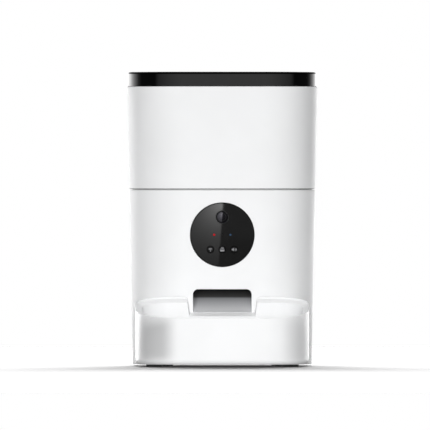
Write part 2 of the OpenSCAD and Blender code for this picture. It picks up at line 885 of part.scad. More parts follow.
module carrier_screws() {
    color("#9a9ca0") placed() on_panel() {
        for (sx = [-1, 1], sy = [-1, 1])
            translate([sx * boss_pos, sy * boss_pos, board_d])
                mirror([0, 0, 1]) screw(2.4, 2.7, 1.5, 1);
        for (a = [90:120:330])
            translate([(board_r - 1.6) * cos(a), (board_r - 1.6) * sin(a), board_d + board_t])
                mirror([0, 0, 1]) screw(3.2, 1.5, 1, 0.8);
    }
}

module panel_board() {
    color("#1d5a3a") placed() on_panel() {
        difference() {
            plug(board_r, board_d, board_d + board_t);
            plug(lens_r, -5, 20, 0, -lens_up);
            for (a = [90:120:330])
                plug(0.95, -5, 20, (board_r - 1.6) * cos(a), (board_r - 1.6) * sin(a));
        }
        for (s = [-1, 1])
            translate([s * light_pos - 1, -0.7, board_d - 0.8]) cube([2, 1.4, 0.9]);
        translate([8, 6, board_d + board_t - 0.1]) cube([9, 9, 1.3]);
        translate([-19, 6, board_d + board_t - 0.1]) cube([14, 5, 4.1]);
    }
}

module tact_switches() {
    color("#3a3b3f") placed() on_panel()
        for (i = [0:2])
            translate([button_x(i) - 2.5, button_down - 2.5, board_d - 0.8]) cube([5, 5, 0.8]);
}

// Light pipe with a collar behind the web
module light_pipe(x) {
    plug(light_d / 2, -panel_proud + 0.1, board_d - 0.9, x, 0);
    plug(light_d / 2 + 0.7, web_d, web_d + 0.7, x, 0);
}

module power_light() {
    color("#e03a3a") placed() on_panel() light_pipe(-light_pos);
}

module network_light() {
    color("#3a7de0") placed() on_panel() light_pipe(light_pos);
}

module microphone() {
    color("#b9bbbf") placed() on_panel() plug(2, board_d - 1.2, board_d);
}

module lens_bezel() {
    color("#141417") placed() on_panel() difference() {
        plug(lens_r, -panel_proud, web_d, 0, -lens_up);
        plug(lens_r - 1.3, -5, 20, 0, -lens_up);
    }
}

// Lens with a shallow dome at the front
module lens_glass() {
    r = lens_r - 1.3 - 0.05;
    color("#20242c") placed() on_panel() intersection() {
        plug(r, -panel_proud + 0.3, web_d, 0, -lens_up);
        translate([0, -lens_up, -panel_proud + 0.3 + 14]) sphere(r = 14);
    }
}

module lens_barrel() {
    color("#1c1c1f") placed() on_panel() {
        plug(lens_r - 0.4, web_d + 0.1, board_d + board_t + 1, 0, -lens_up);
        translate([-8.5, -lens_up - 8.5, board_d + board_t]) cube([17, 17, 4]);
    }
}

module camera_board() {
    color("#1d5a3a") placed() on_panel() {
        translate([-12, -lens_up - 9, board_d + board_t + 4]) cube([24, 22, board_t]);
        translate([-6, -lens_up + 4, board_d + 2 * board_t + 3.9]) cube([12, 5, 2.1]);
    }
}

// Button cap with a retaining flange and a stem
module button(i) {
    x = button_x(i);
    plug(button_d / 2, -panel_proud - 0.4, web_d + 0.2, x, button_down);
    plug(button_d / 2 + 0.8, web_d + 0.1, web_d + 0.8, x, button_down);
    plug(1.5, web_d + 0.7, board_d - 0.8 - button_travel - 0.1, x, button_down);
}

module left_button() {
    color("#131316") placed() on_panel() button(0);
}

module middle_button() {
    color("#131316") placed() on_panel() button(1);
}

module right_button() {
    color("#131316") placed() on_panel() button(2);
}

// Control board on four posts, with its larger components
module main_board() {
    z = z_bottom + floor_t + post_h;
    color("#1d5a3a") placed() difference() {
        union() {
            translate([-board_x - 5, board_y[0] - 5, z])
                cube([2 * board_x + 10, board_y[1] - board_y[0] + 10, board_t]);
            translate([-20, board_y[0] + 4, z + 1]) cube([16, 16, 2.6]);
            translate([6, board_y[0] + 3, z + 1]) cube([14, 6, 6]);
            translate([24, board_y[0] + 14, z + 1]) cylinder(r = 4, h = 9);
        }
        for (sx = [-1, 1], y = board_y)
            translate([sx * board_x, y, z - 1]) cylinder(r = 1.2, h = 5);
    }
}

module board_screws() {
    color("#9a9ca0") placed()
        for (sx = [-1, 1], y = board_y)
            translate([sx * board_x, y, z_bottom + floor_t + post_h + board_t])
                mirror([0, 0, 1]) screw(5, 2.2, 1.4, 1);
}

// Round power socket in the rear wall
socket_len = 14;
module dc_socket() {
    yo = half_w(socket_z);
    color("#1a1a1c") placed()
        translate([0, yo, socket_z])
            rotate([90, 0, 0]) {
                difference() {
                    union() {
                        translate([0, 0, -0.4]) cylinder(r = 5.4, h = socket_len);
                        translate([0, 0, wall + 0.3]) cylinder(r = 7.6, h = 2);
                    }
                    translate([0, 0, -1]) cylinder(r = 2.75, h = 10);
                }
                translate([0, 0, 1]) cylinder(r = 1, h = 9);
            }
}

module speaker() {
    zf = z_bottom + floor_t;
    color("#2a2b2e") placed()
        translate([0, speaker_y, zf]) difference() {
            union() {
                cylinder(r = speaker_r, h = 3);
                translate([0, 0, 2.9]) cylinder(r1 = speaker_r - 1, r2 = speaker_r * 0.6, h = 2.6);
                translate([0, 0, 5.4]) cylinder(r = speaker_r * 0.6, h = 3);
            }
            translate([0, 0, -1]) cylinder(r = speaker_r - 2.5, h = 2.2);
        }
}

// Corners of the tray: place along X, place along Y and radius
tray_corners = [
    [tray_w / 2 - tray_back_r, tray_y - tray_back_r, tray_back_r],
    [tray_w / 2 - tray_front_r, tray_front + tray_front_r, tray_front_r]];

// Height of the rim plane at a place along Y
function rim_z(y) = tray_back_z + (y - tray_y) * tray_slope;

// Flat slice of the tray outline at a height
slice_h = 1;
module tray_slice(z, inset, h = slice_h) {
    for (c = tray_corners, s = [-1, 1])
        translate([s * c[0], c[1], z]) cylinder(r = c[2] - inset, h = h, $fn = shell_fn);
}

// Slice of the tray outline parallel to the rim
module rim_slice(drop, inset) {
    for (c = tray_corners, s = [-1, 1])
        translate([s * c[0], c[1], rim_z(c[1]) - drop])
            rotate([tray_tilt, 0, 0])
                cylinder(r = c[2] - inset, h = slice_h, $fn = shell_fn);
}

// Face of the notch, in the plane of the rear wall
module notch_face(y, grow) {
    top = tray_back_z + 20;
    slope = 2.6;
    translate([0, y, 0])
        rotate([90, 0, 0])
            linear_extrude(height = 0.01)
                polygon([[-notch_half + slope - grow, notch_z - grow],
                    [notch_half - slope + grow, notch_z - grow],
                    [notch_half + grow, tray_back_z], [notch_half + grow, top],
                    [-notch_half - grow, top], [-notch_half - grow, tray_back_z]]);
}

rim_edge = 1.2;
module tray() {
    color("#f7f8f9") placed() {
        difference() {
            hull() tray_slice(z_bottom, 0, tray_back_z - z_bottom);
            hull() {
                rim_slice(0, -1);
                translate([0, 0, 40]) rim_slice(0, -1);
                translate([0, 30, 0]) rim_slice(-30 * tray_slope, -1);
                translate([0, -30, 0]) rim_slice(30 * tray_slope, -1);
            }
            hull() {
                tray_slice(bowl_z, rim_w + 18);
                tray_slice(bowl_z + 2, rim_w + 10);
                tray_slice(bowl_z + 7, rim_w + rim_edge + 3);
                tray_slice(tray_back_z + 5, rim_w + rim_edge);
            }
            hull() {
                rim_slice(rim_drop, rim_w + rim_edge);
                rim_slice(-0.1, rim_edge);
            }
            hull() {
                notch_face(tray_y + 1, 0);
                notch_face(tray_y - rim_w - rim_edge - 2, rim_drop);
            }
            hull() tray_slice(z_bottom - 1, 3, bowl_z - 2.6 - z_bottom + 1);
        }
        translate([-tongue_w / 2, tray_y - 6, z_bottom + 0.4])
            cube([tongue_w, tongue_len + 6, tongue_t]);
        for (s = [-1, 1])
            for (p = tray_feet_pos)
                translate([s * p[0], p[1], z_bottom + 1])
                    cylinder(r = foot_d / 2 + 1.6, h = bowl_z - 2 - z_bottom);
    }
}

// Places of the tray feet, front and back, from the sides and the ends of the tray
feet_side = [19, 26.5];
feet_end = [46, 26];
tray_feet_pos = [[tray_w / 2 - feet_side[0], tray_front + feet_end[0]],
    [tray_w / 2 - feet_side[1], tray_y - feet_end[1]]];
module tray_feet() {
    color("#26262a") placed()
        for (s = [-1, 1])
            for (p = tray_feet_pos)
                translate([s * p[0], p[1], 0])
                    cylinder(r = foot_d / 2, h = foot_h + 1);
}

lid();
lid_seal();
desiccant_cup();
hopper();
base_shell();
base_floor();
base_feet();
floor_screws();
battery_cover();
battery_screws();
battery_contacts();
dispenser_deck();
deck_screws();
portion_baffle();
chute();
chute_screws();
gearbox_case();
gearbox_cover();
gearbox_screws();
idler_pin();
output_bush();
motor_can();
motor_cap();
motor_shaft();
motor_pinion();
idler_gear();
output_gear();
output_shaft();
rotor_hub();
rotor_blades();
agitator();
front_panel();
panel_carrier();
carrier_screws();
panel_board();
tact_switches();
power_light();
network_light();
microphone();
lens_bezel();
lens_glass();
lens_barrel();
camera_board();
left_button();
middle_button();
right_button();
main_board();
board_screws();
dc_socket();
speaker();
tray();
tray_feet();
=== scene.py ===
# %% [markdown]
# An automatic pet feeder with a camera panel, dressed in Blender around its solid model.
# The solid model is the fixed frame: every piece made here is in metres, in the same place as the
# part it stands for, and rides on the same moving body.

# %% Load the frame
import json
import math

import bmesh
import bpy
from mathutils import Matrix, Vector


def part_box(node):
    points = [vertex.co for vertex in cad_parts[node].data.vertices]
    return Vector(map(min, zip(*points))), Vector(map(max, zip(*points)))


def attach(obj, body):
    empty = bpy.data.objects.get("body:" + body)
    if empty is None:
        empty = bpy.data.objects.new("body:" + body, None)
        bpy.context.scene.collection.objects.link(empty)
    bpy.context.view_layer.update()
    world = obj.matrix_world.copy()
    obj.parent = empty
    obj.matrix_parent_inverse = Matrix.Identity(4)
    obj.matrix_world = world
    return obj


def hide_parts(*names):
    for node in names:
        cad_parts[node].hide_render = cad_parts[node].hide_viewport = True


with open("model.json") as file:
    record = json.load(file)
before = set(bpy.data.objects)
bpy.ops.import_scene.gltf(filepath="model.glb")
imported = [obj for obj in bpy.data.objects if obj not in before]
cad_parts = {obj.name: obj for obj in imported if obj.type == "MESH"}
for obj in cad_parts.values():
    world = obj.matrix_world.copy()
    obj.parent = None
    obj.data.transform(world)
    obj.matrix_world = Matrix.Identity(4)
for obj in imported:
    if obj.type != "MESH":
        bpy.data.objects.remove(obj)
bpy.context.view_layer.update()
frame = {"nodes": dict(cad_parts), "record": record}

scene = bpy.context.scene
scene.view_settings.view_transform = "Standard"

# %% [markdown]
# The camera comes first. The product photograph is almost a drawing: straight from the front, from
# far away, with every level edge straight and the top of the lid just out of sight. A long lens far
# off gives that. One pixel is one millimetre at the body, and the frame is 430 pixels wide.

# %% Camera
MM = 0.001
FRAME_PIXELS = 430
CAMERA_DISTANCE = 20.0
# How far before the body's axis a millimetre is exactly a pixel
SHARP_PLANE = 0.1
SENSOR = 36.0
# Where the middle of the picture falls: sideways from the object's axis, and above the floor
AIM_X = -7.3 * MM
AIM_Z = 151.5 * MM

lid_low, lid_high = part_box("lid")
body_y = (lid_low.y + lid_high.y) / 2
camera = bpy.data.objects.new("camera", bpy.data.cameras.new("camera"))
scene.collection.objects.link(camera)
camera.location = (AIM_X, body_y - CAMERA_DISTANCE, AIM_Z)
camera.rotation_euler = (math.pi / 2, 0, 0)
camera.data.sensor_width = SENSOR
camera.data.lens = SENSOR * (CAMERA_DISTANCE - SHARP_PLANE) / (FRAME_PIXELS * MM)
camera.data.clip_end = 2 * CAMERA_DISTANCE
scene.camera = camera
print("lens", round(camera.data.lens), "mm")

# %% [markdown]
# The sizes that the pieces share are read from the frame. The body is a rounded square whose walls
# lean out towards the top, and the middles of its corner arcs stand straight above each other. So
# one function of the height gives the half width, and the corner radius follows from it.

# %% Shared sizes
shell_low, shell_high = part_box("base_shell")
hopper_low, hopper_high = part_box("hopper")
tray_low, tray_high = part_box("tray")
z_bottom = shell_low.z
z_seam = shell_high.z
z_rim = hopper_high.z
z_top = lid_high.z
SEAM_GAP = 1.0 * MM
# Both edges at the seam fall away from the gap, by this much over this depth
SEAM_FALL = 0.4 * MM
SEAM_DEPTH = 1.6 * MM
SEAM_ROUND = 0.25 * MM
z_hopper = z_seam + SEAM_GAP
WALL = 2.6 * MM
CORNER = 50.0 * MM
SLIDE_GAP = 0.4 * MM

rim_half = (lid_high.x - lid_low.x) / 2
seam_half = (shell_high.x - shell_low.x) / 2
draft = (rim_half - seam_half) / (z_rim - z_seam)


def half_width(z):
    return seam_half + draft * (min(z, z_rim) - z_seam)


corner_mid = half_width(z_bottom) - CORNER
print("half width", round(half_width(z_bottom), 4), "to", round(rim_half, 4))

# %% [markdown]
# Each moulded shell is a walk round its cross-section: outside, over the edge, down the inside and
# back. Every stop on that walk is a ring with the outline of the body. A ring starts as a one-cell
# grid whose four corners are bevelled into arcs, and neighbouring rings are bridged. That keeps the
# arcs matched from ring to ring, which a cut or a boolean would not.

# %% Rings
ARC_STEPS = 18
# The widest corner, as a share of the half width: a whole one would leave sides without length
FULL_CORNER = 0.9995


def round_corners(bm, corners, radius):
    bmesh.ops.bevel(bm, geom=corners, offset=radius, offset_type="OFFSET", segments=ARC_STEPS,
                    profile=0.5, affect="VERTICES", material=-1)


def round_edges(bm, edges, width, steps):
    bmesh.ops.bevel(bm, geom=edges, offset=width, offset_type="OFFSET", segments=steps,
                    profile=0.5, affect="EDGES", material=-1, clamp_overlap=True)


def open_outline(bm, known):
    """The edges that are newer than the known ones, without the faces between them."""
    edges = [e for e in bm.edges if e not in known]
    bmesh.ops.delete(bm, geom=list({f for e in edges for f in e.link_faces}), context="FACES_ONLY")
    return edges


def ring(bm, half, radius, z):
    known = set(bm.edges)
    made = bmesh.ops.create_grid(bm, x_segments=1, y_segments=1, size=half)["verts"]
    bmesh.ops.translate(bm, verts=made, vec=(0, body_y, z))
    round_corners(bm, made, min(radius, half * FULL_CORNER))
    return open_outline(bm, known)


def body_ring(bm, z, inset, radius=None):
    """The outline of the body at a height, or a circle about its axis."""
    if radius:
        return ring(bm, radius, radius, z)
    half = half_width(z) - inset
    return ring(bm, half, half - corner_mid, z)


# %% [markdown]
# A finished mesh becomes a piece of the object. Most pieces stand for one solid: such a piece rides
# on the solid's body and takes its place. The record lists the body and the material slot of each
# solid. A moulding is such a piece, lofted through the named rings of its walk, some of which are then
# rounded.

# %% From a mesh to a piece
body_of = {n: b for b, members in frame["record"]["behaviour"]["bodies"].items() for n in members}
slot_of = {row["node"]: row["material_slot"] for row in frame["record"]["subparts"]}
# Points of a piece closer than the first become one. The second welds turnings and finds edges
WELD = 0.002 * MM
TOUCH = 0.001 * MM
# Two rings at one height are pulled apart by this much while they are bridged, so that the
# operator can tell which way round they run
PULL = Vector((0, 0, 1))


def to_object(bm, name):
    mesh = bpy.data.meshes.new(name)
    bm.to_mesh(mesh)
    bm.free()
    made = bpy.data.objects.new(name, mesh)
    scene.collection.objects.link(made)
    return made


def finish_mesh(bm, name, solid, body=None, slot=None):
    bmesh.ops.remove_doubles(bm, verts=bm.verts, dist=WELD)
    bmesh.ops.recalc_face_normals(bm, faces=bm.faces)
    piece = to_object(bm, name)
    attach(piece, body or body_of[solid])
    if solid:
        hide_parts(solid)
    print(name, len(piece.data.polygons), "faces")
    return piece


def moulding(name, solid, ring_at, stops, rounds, caps=()):
    """A walk through rings, which ends in two caps or closes on itself."""
    bm = bmesh.new()
    walk = {stop: ring_at(bm, *sizes) for stop, *sizes in stops}
    rings = list(walk.values())
    for one, other in zip(rings, rings[1:] if caps else rings[1:] + rings[:1]):
        pulled = list({v for e in other for v in e.verts})
        bmesh.ops.translate(bm, verts=pulled, vec=PULL)
        bmesh.ops.bridge_loops(bm, edges=one + other)
        bmesh.ops.translate(bm, verts=pulled, vec=-PULL)
    for stop in caps:
        bmesh.ops.edgeloop_fill(bm, edges=walk[stop])
    for names, width, steps in rounds:
        round_edges(bm, [e for stop in names.split() for e in walk[stop]], width, steps)
    return finish_mesh(bm, name, solid)


# %% [markdown]
# The mouth, the panel's bore and the other holes are cut with a boolean, the way a mould's side
# slides would leave them. The cutter is a plain closed mesh that is thrown away afterwards, and a
# narrow bevel then breaks the sharp edges that the cut leaves.

# %% Cutting and edge breaking
BREAK_ANGLE = math.radians(48)


def loose(bm, name):
    bmesh.ops.recalc_face_normals(bm, faces=bm.faces)
    return to_object(bm, name)


def settle(piece):
    graph = bpy.context.evaluated_depsgraph_get()
    settled = bpy.data.meshes.new_from_object(piece.evaluated_get(graph), preserve_all_data_layers=True,
                                              depsgraph=graph)
    piece.modifiers.clear()
    old = piece.data
    piece.data = settled
    bpy.data.meshes.remove(old)
    settled.name = piece.name


def shape_with(piece, tools, operation):
    for tool in tools:
        change = piece.modifiers.new(operation.lower(), "BOOLEAN")
        change.operation = operation
        change.solver = "EXACT"
        change.object = tool
    settle(piece)
    for tool in tools:
        spare = tool.data
        bpy.data.objects.remove(tool)
        bpy.data.meshes.remove(spare)


def break_edges(piece, width, steps):
    change = piece.modifiers.new("edges", "BEVEL")
    change.width = width
    change.segments = steps
    change.limit_method = "ANGLE"
    change.angle_limit = BREAK_ANGLE
    settle(piece)


def drum(bm, radius, start, end, place, sides):
    made = bmesh.ops.create_cone(bm, cap_ends=True, segments=sides, radius1=radius, radius2=radius,
                                 depth=end - start)["verts"]
    bmesh.ops.translate(bm, verts=made, vec=(0, 0, (start + end) / 2))
    bmesh.ops.transform(bm, matrix=place, verts=made)


def drums(name, radius, start, end, places, sides=96):
    bm = bmesh.new()
    for place in places:
        drum(bm, radius, start, end, place, sides)
    return loose(bm, name)


def block(bm, low, high):
    made = bmesh.ops.create_cube(bm, size=1.0)["verts"]
    low, high = Vector(low), Vector(high)
    bmesh.ops.scale(bm, vec=high - low, verts=made)
    bmesh.ops.translate(bm, vec=(low + high) / 2, verts=made)
    return made


def block_corners(bm, axis, level):
    """The two edges of a block at a level of one axis that don't run sideways."""
    return [e for e in bm.edges if all(abs(v.co[axis] - level) < TOUCH for v in e.verts)
            and abs(e.verts[0].co.x - e.verts[1].co.x) < TOUCH]


# %% [markdown]
# Round pieces are turned: a chain of points is spun about an axis, as on a lathe. A quarter round
# at a rim takes the sharpness off, and one matrix puts the finished turning in its place.

# %% Turned pieces
NOSE_STEPS = 5


def turned(bm, chain, place, steps=96):
    known = set(bm.verts)
    verts = [bm.verts.new((r, 0, d)) for r, d in chain]
    edges = [bm.edges.new(pair) for pair in zip(verts, verts[1:])]
    bmesh.ops.spin(bm, geom=verts + edges, cent=(0, 0, 0), axis=(0, 0, 1), dvec=(0, 0, 0),
                   angle=2 * math.pi, steps=steps, use_merge=True)
    bmesh.ops.remove_doubles(bm, verts=[v for v in bm.verts if v not in known], dist=TOUCH)
    bmesh.ops.transform(bm, matrix=place, verts=[v for v in bm.verts if v not in known])


def nose(radius, depth, size):
    """Quarter round from a flat face at a depth to the side of a turning, towards larger depths."""
    angles = [math.pi / 2 * i / NOSE_STEPS for i in range(NOSE_STEPS + 1)]
    return [(radius - size + size * math.sin(a), depth + size - size * math.cos(a)) for a in angles]


def capped(radius, front, size, *rest):
    """Chain of a solid turning: a flat front, a quarter round, more points and a flat back."""
    return [(0, front), *nose(radius, front, size), *rest, (0, rest[-1][1])]


def upright(points, z=0.0):
    return [Matrix.Translation((x, y, z)) for x, y in points]


# %% [markdown]
# A moulded face is truly flat up to its rounded edge, and a glossy one shows it. Smooth shading
# alone would bend the light near every round, so a piece ends with normals that lean on its larger
# faces, and with its real creases kept sharp.

# %% Shading and paint
CREASE = math.radians(50)
FACE_WEIGHT = 80


def paint(piece, material):
    bm = bmesh.new()
    bm.from_mesh(piece.data)
    for face in bm.faces:
        face.smooth = True
    for edge in bm.edges:
        edge.smooth = len(edge.link_faces) == 2 and edge.calc_face_angle() < CREASE
    bm.to_mesh(piece.data)
    bm.free()
    piece.data.materials.clear()
    piece.data.materials.append(material)
    change = piece.modifiers.new("flat_faces", "WEIGHTED_NORMAL")
    change.keep_sharp = True
    change.weight = FACE_WEIGHT
    settle(piece)


# %% [markdown]
# Finishes are chains of shader nodes. One helper adds a node and fills its inputs, with a fixed
# value or with the output of another node, and the usual steps build on it: a noise, a change of
# range, a ramp of colours, a bump. They read Object coordinates, so a pattern moves with its piece.

# %% Shader steps
# Most values of a noise lie between these
NOISE_LOW, NOISE_HIGH = 0.3, 0.7
NOISE_ROUGH = 0.55
finishes = {}


def new_material(name):
    material = bpy.data.materials.new(name)
    material.use_nodes = True
    finishes[name] = material
    return material, material.node_tree


def feed(tree, inputs, values):
    for name, value in values.items():
        if isinstance(value, bpy.types.NodeSocket):
            tree.links.new(value, inputs[name])
        else:
            inputs[name].default_value = value


def shade(tree, values):
    feed(tree, tree.nodes["Principled BSDF"].inputs, values)


def step(tree, kind, values=None, output=0, **settings):
    made = tree.nodes.new("ShaderNode" + kind)
    for name, value in settings.items():
        setattr(made, name, value)
    feed(tree, made.inputs, values or {})
    return made.outputs[output]


def where(tree):
    return step(tree, "TexCoord", output="Object")


def noise(tree, scale, detail=3.0):
    return step(tree, "TexNoise", {"Vector": where(tree), "Scale": scale, "Detail": detail,
                                   "Roughness": NOISE_ROUGH}, "Fac")


def mapped(tree, source, from_low, from_high, low, high):
    return step(tree, "MapRange", {"Value": source, "From Min": from_low, "From Max": from_high,
                                   "To Min": low, "To Max": high}, "Result")


def spread(tree, source, low, high):
    return mapped(tree, source, NOISE_LOW, NOISE_HIGH, low, high)


def ramp(tree, source, stops):
    """Colours by a value: each stop is a place from 0 to 1 and a colour."""
    made = tree.nodes.new("ShaderNodeValToRGB")
    marks = made.color_ramp.elements
    marks[0].position, marks[1].position = stops[0][0], stops[-1][0]
    for place, colour in stops[1:-1]:
        marks.new(place)
    for mark, (place, colour) in zip(marks, stops):
        mark.color = (*colour, 1)
    feed(tree, made.inputs, {"Fac": source})
    return made.outputs["Color"]


def tint(tree, source, first, second):
    return ramp(tree, source, [(NOISE_LOW, first), (NOISE_HIGH, second)])


def grain_bump(tree, source, strength, depth):
    return step(tree, "Bump", {"Height": source, "Strength": strength, "Distance": depth})


def distance_from(tree, centre, keep):
    """Distance of a point from a centre, along the axes that keep names with a one."""
    shifted = step(tree, "Mapping", {"Vector": where(tree), "Scale": keep,
                                     "Location": [-c * k for c, k in zip(centre, keep)]})
    return step(tree, "VectorMath", {0: shifted}, "Value", operation="LENGTH")


# %% [markdown]
# The white shells are satin moulded plastic: nearly even in colour, with a fine spark texture that
# only shows in the highlights. A noise drives a small bump and a small change of roughness, at a
# scale of about a third of a millimetre. In gaps of a few millimetres an occlusion node darkens the
# white: that is painted shade, which draws the seams as dark lines.

# %% Moulded plastic
GRAIN = 2600
GRAIN_BUMP = 0.12
GRAIN_DEPTH = 0.05 * MM
FLOW = 22
FLOW_SHADE = 0.97
GAP_REACH = 2.5 * MM
GAP_SHADE = 0.2
# What the occlusion node gives deep in a gap and in the open
GAP_RANGE = (0.2, 0.6)


# Painted shade: the colour darkens where the occlusion node finds surfaces close by, as in the seams.
def painted_gap_shade(tree, colour):
    gap = step(tree, "AmbientOcclusion", {"Distance": GAP_REACH}, "AO", samples=8)
    return step(tree, "VectorMath", {0: colour, "Scale": mapped(tree, gap, *GAP_RANGE, GAP_SHADE, 1.0)},
                operation="SCALE")


def moulded(name, colour, rough, grain_scale=GRAIN, bump=GRAIN_BUMP, specular=0.5, dusty=False):
    material, tree = new_material(name)
    grain = noise(tree, grain_scale)
    mottled = tint(tree, noise(tree, FLOW, 2.0), [c * FLOW_SHADE for c in colour], colour)
    shade(tree, {"Base Color": painted_gap_shade(tree, mottled) if dusty else mottled,
                 "Roughness": spread(tree, grain, rough * 0.9, rough * 1.1),
                 "Diffuse Roughness": 0.15 if dusty else 0.0, "Specular IOR Level": specular,
                 "Normal": grain_bump(tree, grain, bump, GRAIN_DEPTH)})
    return material


# The white shells carry the painted shade in their gaps.
white_shell = moulded("white_shell", (0.86, 0.865, 0.87), 0.38, specular=0.32, dusty=True)
rubber = moulded("rubber", (0.018, 0.018, 0.019), 0.7, grain_scale=1400, bump=0.35)
sign_ink = moulded("sign_ink", (0.25, 0.25, 0.26), 0.5, grain_scale=6000)
moulded("light_plastic", (0.72, 0.73, 0.74), 0.45)
moulded("black_plastic", (0.012, 0.012, 0.013), 0.4)
moulded("acetal", (0.78, 0.75, 0.64), 0.35)
moulded("silicone", (0.32, 0.4, 0.44), 0.55, bump=0.2)
print("moulded finishes:", *finishes)

# %% [markdown]
# The lid and the round panel are polished black plastic. Their look is all reflection, so the base
# is almost black and the roughness low, with a faint slow unevenness like the wiping marks that
# such a surface always carries.

# %% Polished black
SMEAR = 60
DUST = 900
DUST_BUMP = 0.02
DUST_DEPTH = 0.02 * MM


def polished(name, level, rough, specular):
    material, tree = new_material(name)
    shade(tree, {"Base Color": (level, level, level, 1), "Specular IOR Level": specular,
                 "Roughness": spread(tree, noise(tree, SMEAR, 4.0), rough * 0.75, rough * 1.25),
                 "Normal": grain_bump(tree, noise(tree, DUST, 2.0), DUST_BUMP, DUST_DEPTH)})
    return material


black_gloss = polished("black_gloss", 0.0006, 0.08, 0.46)
panel_gloss = polished("panel_gloss", 0.006, 0.035, 0.11)
button_black = polished("button_black", 0.0018, 0.2, 0.06)
print("polished finishes made")

# %% [markdown]
# Metal, circuit board, glass and lights finish the set. Turned steel gets a fine streak along one
# axis, the boards a grid of tracks from a brick pattern, and the status lights a tinted plastic
# that glows a little. A lens shows the rings of its barrel in depth. Here they are a ramp of colour
# over the distance from the optical axis, which runs along Y, under a coated surface. The dark
# rings stand for the barrel, and the paler ones are painted glints of light on its edges.

# %% Metal, boards, glass and lights
STREAK = (300, 300, 6000)
LIGHT_GLOW = 0.3
LENS_DARK = (0.001, 0.001, 0.002)
# Dark rings for the barrel; the paler ones are painted glints of light.
LENS_RINGS_AND_GLINTS = [(0.0, LENS_DARK), (0.26, LENS_DARK), (0.3, (0.008, 0.007, 0.009)), (0.36, LENS_DARK),
              (0.62, (0.002, 0.002, 0.003)), (0.7, (0.018, 0.018, 0.018)), (0.78, (0.001, 0.001, 0.001)),
              (1.0, LENS_DARK)]


def metal(name, colour, rough):
    material, tree = new_material(name)
    stretched = step(tree, "Mapping", {"Vector": where(tree), "Scale": STREAK})
    streak = step(tree, "TexNoise", {"Vector": stretched, "Scale": 1.0}, "Fac")
    shade(tree, {"Base Color": tint(tree, streak, [c * 0.9 for c in colour], colour), "Metallic": 1.0,
                 "Roughness": spread(tree, streak, rough * 0.8, rough * 1.25)})
    return material


def track_board(name):
    tree = new_material(name)[1]
    tracks = step(tree, "TexBrick", {
        "Vector": where(tree), "Scale": 260, "Mortar Size": 0.06, "Color1": (0.012, 0.09, 0.04, 1),
        "Color2": (0.014, 0.1, 0.046, 1), "Mortar": (0.05, 0.2, 0.09, 1)}, "Color")
    shade(tree, {"Base Color": tracks, "Roughness": 0.35})


def lit_plastic(name, colour):
    tree = new_material(name)[1]
    cloudy = tint(tree, noise(tree, 1500), colour, [min(1.0, c * 1.2) for c in colour])
    shade(tree, {"Base Color": cloudy, "Roughness": 0.2, "Specular IOR Level": 0.1,
                 "Emission Color": (*colour, 1), "Emission Strength": LIGHT_GLOW})


def coated_glass(name, low, high):
    material, tree = new_material(name)
    away = distance_from(tree, (low + high) / 2, (1, 0, 1))
    rings = ramp(tree, mapped(tree, away, 0, (high.x - low.x) / 2, 0, 1), LENS_RINGS_AND_GLINTS)
    shade(tree, {"Base Color": rings, "Roughness": 0.04, "Specular IOR Level": 0.12,
                 "Specular Tint": (0.9, 0.88, 1.0, 1)})
    return material


steel = metal("steel", (0.56, 0.57, 0.58), 0.32)
brass = metal("brass", (0.62, 0.47, 0.22), 0.36)
track_board("circuit_board")
lit_plastic("red_light", (0.36, 0.006, 0.01))
lit_plastic("blue_light", (0.024, 0.05, 0.09))
lens_coated = coated_glass("lens_glass", *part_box("lens_glass"))
print(len(finishes), "finishes made")

# %% [markdown]
# Every part of the solid model that stays in sight takes the finish of its material slot. The
# pieces below replace the ones whose moulded edges, arcs and domes matter.

# %% Finishes on the solid model
for name, slot in slot_of.items():
    solid = frame["nodes"][name]
    solid.data.materials.clear()
    solid.data.materials.append(finishes[slot])
# The microphone sits behind dark felt, so its pin hole stays black
frame["nodes"]["microphone"].data.materials[0] = rubber
print(len(frame["nodes"]), "solids have a finish")

# %% [markdown]
# The lid is one polished moulding: a flat top with a small rounding, a straight side flush with the
# hopper, and under it a plug that enters the hopper. Its walk starts at the middle of the top and
# ends at the middle of the ceiling, so both ends are capped. The plug leans with the hopper's wall,
# so its foot is set by the width at its own height. A ring for the drying cup is joined below.

# %% Lid
PLUG_HEIGHT = 10 * MM
PLUG_GAP = 1.3 * MM
PLUG_WALL = 2 * MM
CLIP_IN = 29 * MM
CLIP_OUT = 31 * MM

ceiling = z_top - WALL
plug_foot = z_rim - PLUG_HEIGHT
plug_out = WALL + PLUG_GAP
plug_in = plug_out + PLUG_WALL
lid = moulding("lid_moulding", "lid", body_ring, [
    ("top", z_top, 0), ("foot", z_rim, 0), ("foot_in", z_rim, WALL), ("groove", ceiling, WALL),
    ("plug_root", ceiling, plug_out), ("plug_out", plug_foot, plug_out), ("plug_in", plug_foot, plug_in),
    ("ceiling", ceiling, plug_in),
], [("top", 2.4 * MM, 5), ("foot", 0.35 * MM, 2), ("plug_out plug_in", 0.5 * MM, 2)], ("top", "ceiling"))
clip = bmesh.new()
clip_top = z_top - WALL / 2
turned(clip, [(CLIP_IN, z_rim), (CLIP_OUT, z_rim), (CLIP_OUT, clip_top), (CLIP_IN, clip_top),
              (CLIP_IN, z_rim)], Matrix.Translation((0, body_y, 0)))
shape_with(lid, [loose(clip, "clip_ring")], "UNION")
paint(lid, black_gloss)

# %% [markdown]
# The hopper's walk is longer: up the outside, over the rim, down to the funnel, from a rounded
# square to a round spigot, back up under the funnel, and round the lip that registers in the base.
# A circle is only a rounded square whose corner radius is its half width, so the same ring serves.

# %% Hopper
z_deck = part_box("dispenser_deck")[1].z
LIP_HEIGHT = 5 * MM
LIP_WALL = 1.6 * MM
LEDGE_HEIGHT = 2 * MM
FUNNEL_HEIGHT = 28 * MM
FUNNEL_WALL = 3.5 * MM
THROAT_HEIGHT = 1 * MM
SPIGOT_IN = 46 * MM
SPIGOT_OUT = 51 * MM
FLANGE_OUT = 58 * MM
FLANGE_WALL = 2.5 * MM
FLANGE_STEP = 0.5 * MM

